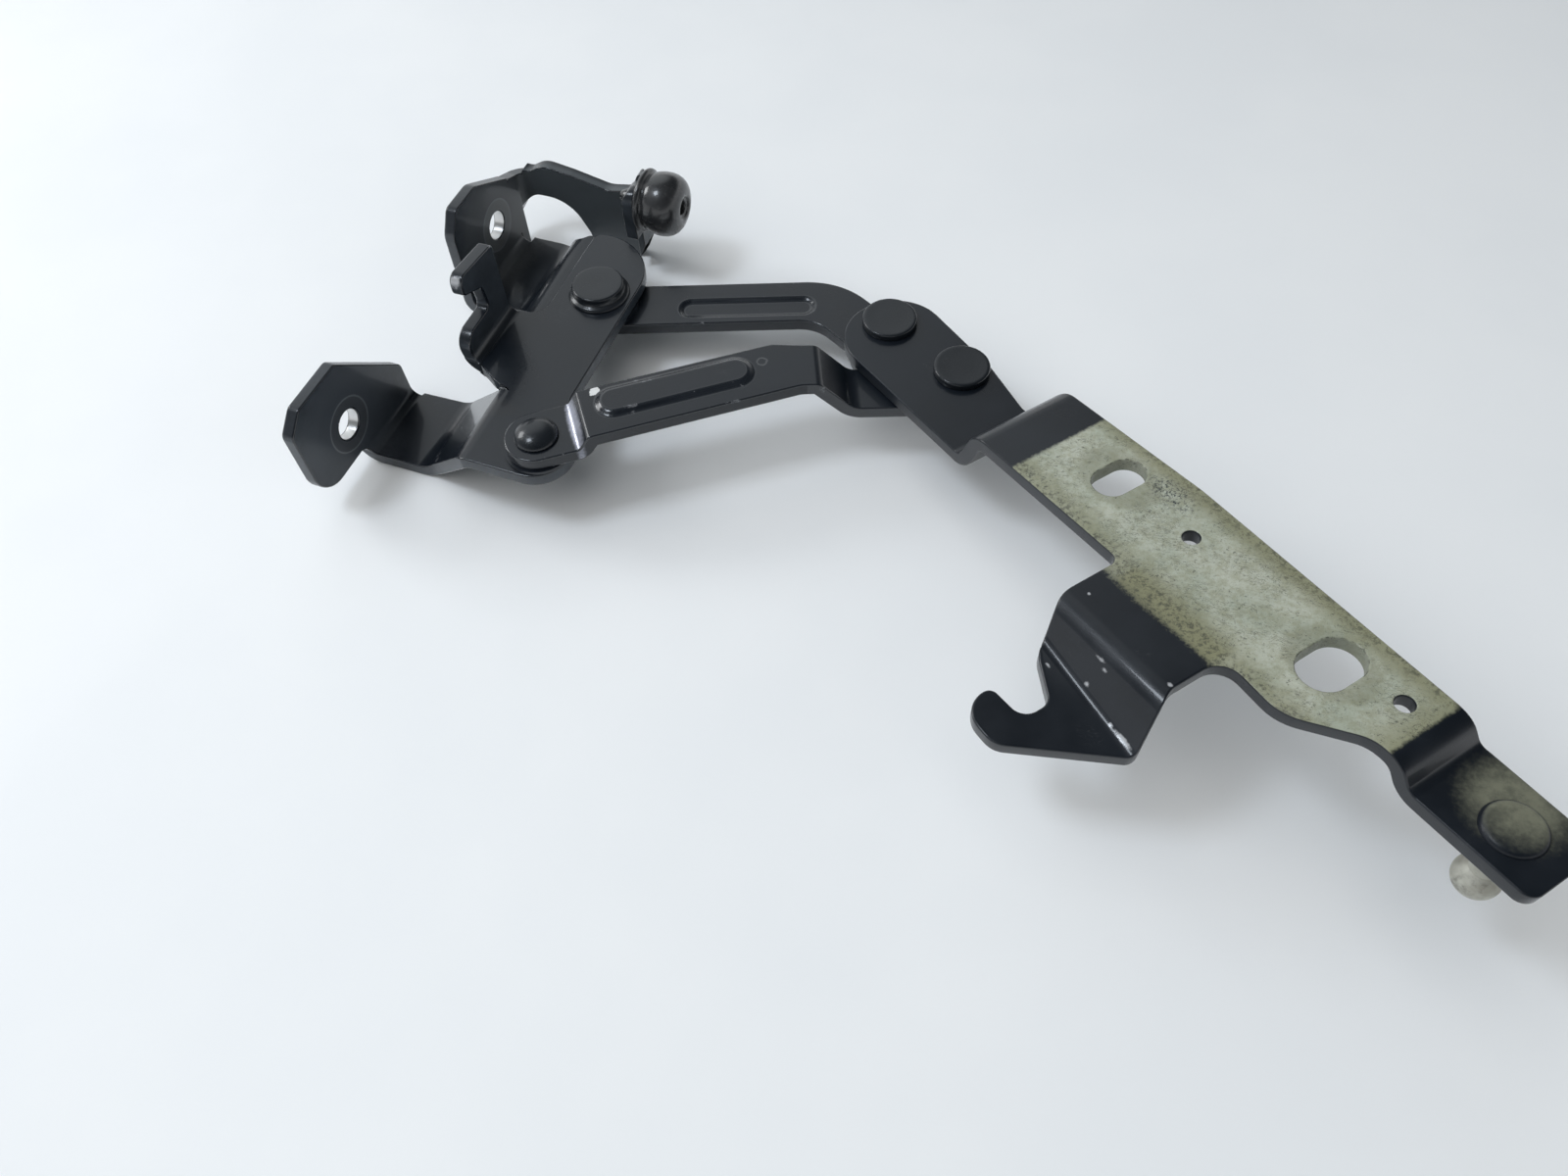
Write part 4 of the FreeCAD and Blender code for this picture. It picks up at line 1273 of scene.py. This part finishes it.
class Finishes:
    """Builds each finish once and hands it out by name."""

    def __init__(self, tools: Toolbox, places: Places) -> None:
        """Make every finish of the hinge and its worktop.

        Args:
            tools: the shared groups.
            places: where the marks are set from.
        """
        # the first colour of each is painted light on the tab's face
        front_bolt = bolt_marks((0.0, 0.0, 0.0), (0.05, 0.058, 0.069), (0.052, 0.057, 0.063))
        rear_bolt = bolt_marks(places.rear_bolt, (0.072, 0.079, 0.085), (0.125, 0.132, 0.135))
        kinds = (
            BlackCoat(Skin.PLAIN),
            # painted light on the upright faces, and painted light and shade among the marks
            BlackCoat(Skin.TABS, upright_fill=0.95, marks=web_marks() + front_bolt + rear_bolt),
            BlackCoat(Skin.LINK, marks=link_marks(places.front_pivot)),
            BlackCoat(Skin.RIVET, tone=(0.0062, 0.0085, 0.0115), pale=(0.011, 0.0138, 0.0175), roughness=0.3),
            FlangeCoat(Skin.FLANGE, flange=places.flange, marks=ear_marks(places.flange)),
            WornEdge(Skin.EDGE),
            WornEdge(Skin.BRIGHT_EDGE, cut=0.6),
            Rubber(Skin.RUBBER),
            Plated(Skin.ZINC),
            StudCoat(Skin.STUD, flange=places.flange, coat=0.0),
            Plated(Skin.BRONZE, tone=(0.42, 0.3, 0.17), stain=(0.24, 0.17, 0.1), roughness=0.42),
            FloorSheet(Skin.WORKTOP, surround=SURROUND_TONE, bump_mm=0.03, specular=0.2),
        )
        self.made = {kind.skin: kind.build(tools) for kind in kinds}

    def __getitem__(self, skin: Skin) -> bpy.types.Material:
        """Return a finish's material."""
        return self.made[skin]


# ---- pieces --------------------------------------------------------------------
@dataclass(frozen=True)
class Look:
    """Where a piece belongs, which CAD node it stands for, and its finish.

    Args:
        node: the CAD node.
        body: the moving body it rides on.
        skin: its finish.
        slot: its material slot in the record; not used.
    """

    node: str
    body: Body
    skin: Skin
    slot: Slot = Slot.BLACK


def publish(name: str, mesh: bmesh.types.BMesh, look: Look, finishes: Finishes) -> bpy.types.Object:
    """Turn a mesh into a piece that rides on its body.

    Args:
        name: the piece's name.
        mesh: its mesh, in metres; it is freed.
        look: its body, finish and the CAD node it stands for.
        finishes: the materials.
    Returns:
        The object.
    """
    data = bpy.data.meshes.new(name)
    mesh.to_mesh(data)
    mesh.free()
    piece = bpy.data.objects.new(name, data)
    bpy.context.scene.collection.objects.link(piece)
    data.materials.append(finishes[look.skin])
    data.shade_smooth()
    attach(piece, look.body.value)
    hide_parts(look.node)
    LOG.info("%s: %d faces on %s", name, len(data.polygons), look.body.value)
    return piece


def bent_edges(mesh: bmesh.types.BMesh, angle_deg: float) -> list[bmesh.types.BMEdge]:
    """Return the edges between two faces that turn by more than an angle."""
    return [edge for edge in mesh.edges
            if len(edge.link_faces) == 2 and edge.calc_face_angle(0.0) > math.radians(angle_deg)]


def drop_slivers(mesh: bmesh.types.BMesh, height: float, passes: int = 8) -> None:
    """Join each very thin face to its neighbour across its longest edge.

    Args:
        mesh: the mesh, changed in place.
        height: faces thinner than this are joined, metres.
        passes: greatest number of rounds.
    """
    for _ in range(passes):
        thin: dict[bmesh.types.BMEdge, None] = {}  # a dict keeps its order, so each run gives the same mesh
        for face in mesh.faces:
            longest = max(face.edges, key=lambda edge: edge.calc_length())
            if 2.0 * face.calc_area() < height * longest.calc_length() and len(longest.link_faces) == 2:
                thin[longest] = None
        if not thin:
            return
        bmesh.ops.dissolve_edges(mesh, edges=list(thin), use_verts=False)


def unfold(mesh: bmesh.types.BMesh, angle_deg: float = 135.0, passes: int = 5) -> None:
    """Join faces that a bevel folded back over their neighbour.

    Args:
        mesh: the mesh, changed in place.
        angle_deg: faces that turn by more than this are joined.
        passes: greatest number of rounds.
    """
    for _ in range(passes):
        mesh.normal_update()
        folds = bent_edges(mesh, angle_deg)
        if not folds:
            return
        bmesh.ops.dissolve_edges(mesh, edges=folds, use_verts=False)


@dataclass(frozen=True)
class Stamping:
    """A pressed-steel part: its CAD form with every cut edge softly broken.

    Args:
        look: where it belongs.
        edge_skin: the finish of its broken edges.
        edge_mm: how far the edges are broken.
        corners: upright corners of its outline to round, each a point and a radius.
        sharp_deg: edges that turn by more than this are broken.
        merge_mm: points nearer than this are one.
        sliver_mm: faces thinner than this are joined to a neighbour.
    """

    look: Look
    edge_skin: Skin = Skin.EDGE
    edge_mm: float = 0.5
    corners: tuple[tuple[Point, float], ...] = ()
    sharp_deg: float = 30.0
    merge_mm: float = 0.02
    sliver_mm: float = 0.12

    def merged_copy(self, source: bpy.types.Mesh) -> bmesh.types.BMesh:
        """Return the CAD node's mesh with its flat faces whole again.

        Args:
            source: the node's mesh.
        Returns:
            The copy.
        """
        mesh = bmesh.new()
        mesh.from_mesh(source)
        bmesh.ops.remove_doubles(mesh, verts=mesh.verts, dist=self.merge_mm * MM)
        bmesh.ops.dissolve_degenerate(mesh, dist=self.merge_mm * MM, edges=mesh.edges)
        bmesh.ops.dissolve_limit(mesh, angle_limit=math.radians(0.6), verts=mesh.verts, edges=mesh.edges)
        drop_slivers(mesh, self.sliver_mm * MM)
        return mesh

    def round_corners(self, mesh: bmesh.types.BMesh) -> None:
        """Round each listed corner through the sheet's thickness.

        Args:
            mesh: the mesh, changed in place.
        """
        for point, radius in self.corners:
            def away(edge: bmesh.types.BMEdge) -> float:
                """Return how far an edge's further end is from the corner, in plan."""
                return max((vert.co.xy / MM - Vector(point).xy).length for vert in edge.verts)

            bmesh.ops.bevel(mesh, geom=[min(mesh.edges, key=away)], offset=radius * MM, offset_type="OFFSET",
                            segments=8, profile=0.5, affect="EDGES", clamp_overlap=False, material=-1)
        mesh.normal_update()

    def break_edges(self, mesh: bmesh.types.BMesh) -> None:
        """Bevel every sharp edge; the new faces take the second material, the edge finish.

        Args:
            mesh: the mesh, changed in place.
        """
        bmesh.ops.bevel(mesh, geom=bent_edges(mesh, self.sharp_deg), offset=self.edge_mm * MM,
                        offset_type="OFFSET", segments=2, profile=0.5, affect="EDGES", clamp_overlap=False,
                        loop_slide=False, material=1)
        unfold(mesh)

    def keep_inside(self, mesh: bmesh.types.BMesh) -> None:
        """Move any point that left the CAD node's box back onto the box.

        Args:
            mesh: the mesh, changed in place.
        """
        low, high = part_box(self.look.node)
        for vert in mesh.verts:
            vert.co = [min(max(value, least), most) for value, least, most in zip(vert.co, low, high)]

    def build(self, frame: dict, finishes: Finishes) -> None:
        """Make the piece from a merged copy of its CAD node.

        Args:
            frame: the loaded frame.
            finishes: the materials.
        """
        mesh = self.merged_copy(frame["nodes"][self.look.node].data)
        self.round_corners(mesh)
        self.break_edges(mesh)
        self.keep_inside(mesh)
        piece = publish(self.look.node + "_skin", mesh, self.look, finishes)
        piece.data.materials.append(finishes[self.edge_skin])
        level = piece.modifiers.new("flat_faces", "WEIGHTED_NORMAL")
        level.mode = "FACE_AREA"
        level.weight = 100


# ---- round parts: heights in their outlines are taken from the web's top face ----
def arc(centre: Pair, radius: float, first: float, last: float, count: int = 5) -> Outline:
    """Return outline points on an arc.

    Args:
        centre: its centre (along, radius).
        radius: its radius.
        first: angle of the first point, degrees, from the radial direction.
        last: angle of the last point.
        count: number of points.
    Returns:
        The points.
    """
    along, out = centre
    angles = [math.radians(first + (last - first) * i / (count - 1)) for i in range(count)]
    return tuple((along + radius * math.sin(angle), out + radius * math.cos(angle)) for angle in angles)


def riveted_tail(low: float) -> Outline:
    """Return the outline of a rivet's upset end and the start of its shank.

    Args:
        low: underside of the riveted stack.
    Returns:
        The points.
    """
    end = ((low - 2.4, 0.0), (low - 2.4, 4.8))
    corner = arc((low - 1.4, 5.35), 1.0, -80.0, 20.0)
    return end + corner + ((low, 6.2), (low, SHANK_R))


@dataclass(frozen=True)
class Turned:
    """A round part spun from its half outline.

    Args:
        name: the piece's name.
        look: where it belongs.
        start: a point of its axis.
        outline: (distance along the axis, radius), from end to end.
        axis: the axis' direction.
        steps: facets round it.
    """

    name: str
    look: Look
    start: Point
    outline: Outline
    axis: Point = tuple(UP)
    steps: int = 72

    def build(self, finishes: Finishes) -> None:
        """Spin the outline into a closed piece.

        Args:
            finishes: the materials.
        """
        mesh = bmesh.new()
        ring = [mesh.verts.new((radius * MM, 0.0, along * MM)) for along, radius in self.outline]
        edges = [mesh.edges.new(pair) for pair in zip(ring, ring[1:])]
        bmesh.ops.spin(mesh, geom=ring + edges, cent=(0, 0, 0), axis=(0, 0, 1), angle=math.tau,
                       steps=self.steps, use_merge=True)
        bmesh.ops.remove_doubles(mesh, verts=mesh.verts, dist=0.001 * MM)
        bmesh.ops.recalc_face_normals(mesh, faces=mesh.faces)
        turn = Vector(self.axis).to_track_quat("Z", "Y").to_matrix().to_4x4()
        place = Matrix.Translation(Vector(self.start) * MM) @ turn
        bmesh.ops.transform(mesh, matrix=place, verts=mesh.verts)
        publish(self.name, mesh, self.look, finishes)


@dataclass(frozen=True)
class SubAssembly:
    """Pieces that are made together.

    Args:
        places: where the pivots and the flange are.
        kept: CAD nodes that keep their form, and their finishes.
    """

    places: Places
    kept: tuple[tuple[str, Skin], ...] = ()

    def stampings(self) -> tuple[Stamping, ...]:
        """Return the pressed parts."""
        return ()

    def turned(self) -> tuple[Turned, ...]:
        """Return the round parts."""
        return ()

    def build(self, frame: dict, finishes: Finishes) -> None:
        """Make the new pieces and dress the nodes that keep their CAD form.

        Args:
            frame: the loaded frame.
            finishes: the materials.
        """
        for stamping in self.stampings():
            stamping.build(frame, finishes)
        for part in self.turned():
            part.build(finishes)
        for node, skin in self.kept:
            data = frame["nodes"][node].data
            data.materials.clear()
            data.materials.append(finishes[skin])
            LOG.info("%s keeps its CAD form, finish %s", node, skin.value)


@dataclass(frozen=True)
class BodyHalf(SubAssembly):
    """The fixed half: bracket, arm, rubber stop, two rivets and two washers."""

    kept: tuple[tuple[str, Skin], ...] = (("front_body_washer", Skin.PLAIN), ("rear_body_washer", Skin.PLAIN))

    def stampings(self) -> tuple[Stamping, ...]:
        """Return the body bracket and the rear arm."""
        return (Stamping(Look("body_bracket", Body.FIXED, Skin.TABS)),
                Stamping(Look("rear_arm", Body.FIXED, Skin.TABS), edge_mm=0.35))

    def stop(self) -> Turned:
        """Return the rubber stop: bead, stem, collar, groove, bulging body and a dimpled end.

        Returns:
            The part.
        """
        bead = ((-8.0, 0.0), (-8.0, 1.2), (-7.7, 1.6), (-4.9, 2.8), (-4.6, 2.75), (-4.0, 2.39))
        collar = ((-0.05, 2.39), (0.0, 8.9), (0.15, 9.3)) + arc((1.1, 8.95), 0.93, -70.0, 60.0, 6)
        groove = ((2.15, 9.0), (2.4, 8.72), (2.75, 8.72), (3.1, 9.05))
        bulge = ((4.6, 9.5), (6.6, 9.84), (8.3, 9.86), (10.0, 9.6), (11.4, 9.05), (12.5, 8.2), (13.3, 7.15),
                 (13.85, 5.9), (14.15, 4.8), (14.22, 4.0))
        dimple = ((14.1, 3.6), (13.75, 3.3), (13.5, 3.1), (13.45, 2.6), (13.2, 2.25), (12.6, 2.2), (7.4, 2.2),
                  (7.2, 1.9), (7.2, 0.0))
        look = Look("bump_stop", Body.FIXED, Skin.RUBBER, Slot.RUBBER)
        return Turned("rubber_stop", look, self.places.stop_face, bead + collar + groove + bulge + dimple,
                      (1.0, 0.0, 0.0), 80)

    def front_rivet(self) -> Turned:
        """Return the domed rivet of the front pivot.

        Returns:
            The part.
        """
        dome = ((5.0, SHANK_R), (5.0, 6.05), (5.25, 6.2), (5.7, 6.12), (6.35, 5.55), (6.95, 4.75), (7.5, 3.7),
                (7.85, 2.6), (8.1, 1.4), (8.18, 0.0))
        return Turned("front_body_rivet_head", Look("front_body_rivet", Body.FIXED, Skin.RIVET),
                      self.places.front_pivot, riveted_tail(-4.0) + dome, steps=64)

    def rear_rivet(self) -> Turned:
        """Return the tall flat-headed rivet of the rear pivot, with its collar.

        Returns:
            The part.
        """
        collar = ((0.0, SHANK_R), (0.0, 9.3), (0.25, 9.38), (0.85, 9.1), (1.15, 8.7), (1.28, 8.1),
                  (1.5, 7.84))
        head = ((3.2, 7.84),) + arc((3.35, 7.3), 0.6, 25.0, 88.0) + ((3.98, 6.6), (3.94, 3.0), (3.93, 0.0))
        return Turned("rear_body_rivet_head", Look("rear_body_rivet", Body.FIXED, Skin.RIVET),
                      self.places.rear_pivot, riveted_tail(-9.3) + collar + head)

    def turned(self) -> tuple[Turned, ...]:
        """Return the rubber stop and both rivets."""
        return self.stop(), self.front_rivet(), self.rear_rivet()


@dataclass(frozen=True)
class Links(SubAssembly):
    """The two cranked links and the bushes in their eyes."""

    kept: tuple[tuple[str, Skin], ...] = (("front_body_bush", Skin.BRONZE), ("front_hood_bush", Skin.BRONZE),
                                          ("rear_body_bush", Skin.BRONZE))

    def stampings(self) -> tuple[Stamping, ...]:
        """Return both links."""
        return (Stamping(Look("front_link", Body.FRONT, Skin.LINK), Skin.BRIGHT_EDGE),
                Stamping(Look("rear_link", Body.REAR, Skin.PLAIN)))


@dataclass(frozen=True)
class HoodHalf(SubAssembly):
    """The moving half: bracket, two rivets, ball stud, and what sits between bracket and links.

    Args:
        ear_corners: corners of the ear's outline to round: along, across, radius.
    """

    kept: tuple[tuple[str, Skin], ...] = (("front_hood_washer", Skin.ZINC), ("rear_hood_spacer", Skin.PLAIN),
                                          ("rear_hood_retainer", Skin.PLAIN), ("rear_hood_bush", Skin.BRONZE),
                                          ("ball_stud", Skin.STUD))
    ear_corners: tuple[Point, ...] = ((86.6, -11.6, 5.6), (53.2, -11.6, 2.2))

    def stampings(self) -> tuple[Stamping, ...]:
        """Return the hood bracket."""
        corners = tuple((self.places.flange.point(s, w), radius) for s, w, radius in self.ear_corners)
        return (Stamping(Look("hood_bracket", Body.HOOD, Skin.FLANGE), Skin.FLANGE, corners=corners),)

    def rivet(self, node: str, centre: Point, low: float) -> Turned:
        """Return a flat-headed rivet with a slightly dished top.

        Args:
            node: the CAD node it stands for.
            centre: the pivot's place.
            low: underside of the riveted stack, below the bracket's lower face.
        Returns:
            The part.
        """
        foot = ((4.0, SHANK_R), (4.0, 7.6), (4.12, 7.84), (4.4, 7.93), (5.4, 7.93))
        top = arc((5.62, 7.36), 0.57, 10.0, 85.0) + ((6.18, 6.8), (6.13, 5.6), (6.1, 3.0), (6.1, 0.0))
        return Turned(node + "_head", Look(node, Body.HOOD, Skin.RIVET), centre,
                      riveted_tail(low) + foot + top)

    def turned(self) -> tuple[Turned, ...]:
        """Return both rivets."""
        return (self.rivet("front_hood_rivet", self.places.front_hood_pivot, -5.0),
                self.rivet("rear_hood_rivet", self.places.rear_hood_pivot, -10.3))


# ---- stage ---------------------------------------------------------------------
@dataclass(frozen=True)
class Lamp:
    """A square soft lamp that looks at the hinge.

    Args:
        name: the lamp's name.
        direction: from the hinge to the lamp.
        distance_m: how far off it hangs.
        side_m: length of its side.
        watts: its power.
        tint: its colour.
        mirrored: whether glossy surfaces show it.
    """

    name: str
    direction: Point
    distance_m: float
    side_m: float
    watts: float
    tint: Colour
    mirrored: bool = True

    def hang(self, focus: Point) -> None:
        """Hang the lamp so that it looks at a point.

        Args:
            focus: the point, millimetres.
        """
        data = bpy.data.lights.new(self.name, "AREA")
        data.shape = "SQUARE"
        data.size = self.side_m
        data.energy = self.watts
        data.color = self.tint
        lamp = bpy.data.objects.new(self.name, data)
        bpy.context.scene.collection.objects.link(lamp)
        lamp.visible_glossy = self.mirrored
        way = Vector(self.direction).normalized()
        lamp.location = Vector(focus) * MM + way * self.distance_m
        lamp.rotation_mode = "QUATERNION"
        lamp.rotation_quaternion = way.to_track_quat("Z", "Y")


@dataclass(frozen=True)
class Studio:
    """Worktop, lamps, surround and camera.

    Args:
        floor_z: height of the worktop.
        floor_middle: its middle, in plan.
        floor_half_m: half of its side.
        camera_at: the camera's place.
        camera_turn: its turns about X, Y and Z, degrees.
        lens_mm: its focal length, on a sensor 36 mm wide.
        focus: what the lamps look at.
        lamps: the lamps.
        air: tint of the light all round.
        glow_from: direction of the bright part of the surround.
    """

    floor_z: float
    floor_middle: Pair = (150.0, 30.0)
    floor_half_m: float = 3.0
    camera_at: Point = (209.13, -169.58, 250.37)
    camera_turn: Point = (34.067, 2.247, 20.0)
    lens_mm: float = 27.175
    focus: Point = (150.0, 35.0, 5.0)
    lamps: tuple[Lamp, ...] = (
        Lamp("overhead", (-0.35, -0.35, 1.0), 1.3, 1.7, 12.0, (1.0, 0.975, 0.945), mirrored=False),
        Lamp("side", (0.9, -0.25, 0.4), 1.1, 0.9, 1.8, (0.95, 0.98, 1.0), mirrored=False),
        Lamp("strip", (-0.46, -0.22, 0.86), 1.0, 0.22, 2.4, (0.82, 0.9, 1.0)),
        Lamp("window", (-0.9, 0.08, 0.5), 1.0, 0.3, 2.4, (0.97, 0.985, 1.0)),
    )
    air: Colour = (0.91, 0.96, 0.99)
    glow_from: Point = (-0.502, 0.602, 0.622)

    def worktop(self, finishes: Finishes) -> None:
        """Lay the worktop.

        Args:
            finishes: the materials.
        """
        mesh = bmesh.new()
        bmesh.ops.create_grid(mesh, x_segments=1, y_segments=1, size=self.floor_half_m)
        bmesh.ops.translate(mesh, vec=Vector((*self.floor_middle, self.floor_z)) * MM, verts=mesh.verts)
        data = bpy.data.meshes.new("worktop")
        mesh.to_mesh(data)
        mesh.free()
        data.materials.append(finishes[Skin.WORKTOP])
        floor = bpy.data.objects.new("worktop", data)
        bpy.context.scene.collection.objects.link(floor)
        floor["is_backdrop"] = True

    def surroundings(self) -> None:
        """Set the soft light all round and a pale horizon that the camera and gloss show."""
        world = bpy.data.worlds.new("surround")
        bpy.context.scene.world = world
        world.use_nodes = True
        world.node_tree.nodes.clear()
        graph = Graph(world.node_tree)
        way = graph.add("ShaderNodeTexCoord").outputs["Generated"]
        height = graph.dot(way, UP)
        # dim all round, lighter towards -X and low down towards +X, with one bright part
        to_left = graph.span(graph.dot(way, (-1.0, 0.0, 0.0)), -0.3, 0.7)
        to_right = graph.span(graph.dot(way, (1.0, 0.1, 0.0)), -0.1, 0.6)
        low_right = graph.times(graph.span(height, 0.5, 0.08), to_right)
        ambient = graph.plus(graph.between(to_left, 0.07, 0.26), graph.times(low_right, 0.7))
        glow = graph.span(graph.dot(way, self.glow_from), 0.84, 0.99)
        horizon = graph.times(graph.span(height, 0.34, 0.18), graph.looked_at())
        light = graph.add("ShaderNodeBackground")
        graph.feed(light.inputs["Color"], graph.blend(horizon, self.air, SURROUND_TONE))
        graph.feed(light.inputs["Strength"], graph.between(horizon, graph.between(glow, ambient, 1.0), 1.0))
        graph.feed(graph.add("ShaderNodeOutputWorld").inputs["Surface"], light.outputs[0])

    def camera(self) -> None:
        """Set the camera."""
        data = bpy.data.cameras.new("camera")
        data.sensor_width = 36.0
        data.lens = self.lens_mm
        data.clip_start = 0.01
        data.clip_end = 20.0
        camera = bpy.data.objects.new("camera", data)
        bpy.context.scene.collection.objects.link(camera)
        camera.location = Vector(self.camera_at) * MM
        camera.rotation_euler = Euler([math.radians(turn) for turn in self.camera_turn])
        bpy.context.scene.camera = camera

    def build(self, finishes: Finishes) -> None:
        """Set up the whole stage.

        Args:
            finishes: the materials.
        """
        self.camera()
        self.worktop(finishes)
        self.surroundings()
        for lamp in self.lamps:
            lamp.hang(self.focus)
        bpy.context.scene.view_settings.view_transform = "Standard"


def main() -> None:
    """Build the hinge's looks and its stage."""
    logging.basicConfig(level=logging.INFO, format="%(name)s %(message)s")
    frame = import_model()
    cad_low, cad_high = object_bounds()
    places = Places.read(frame)
    finishes = Finishes(Toolbox(), places)
    for kind in (BodyHalf, Links, HoodHalf):
        kind(places).build(frame, finishes)
    Studio(floor_z=cad_low.z / MM - 0.05).build(finishes)


if __name__ == "__main__":
    main()
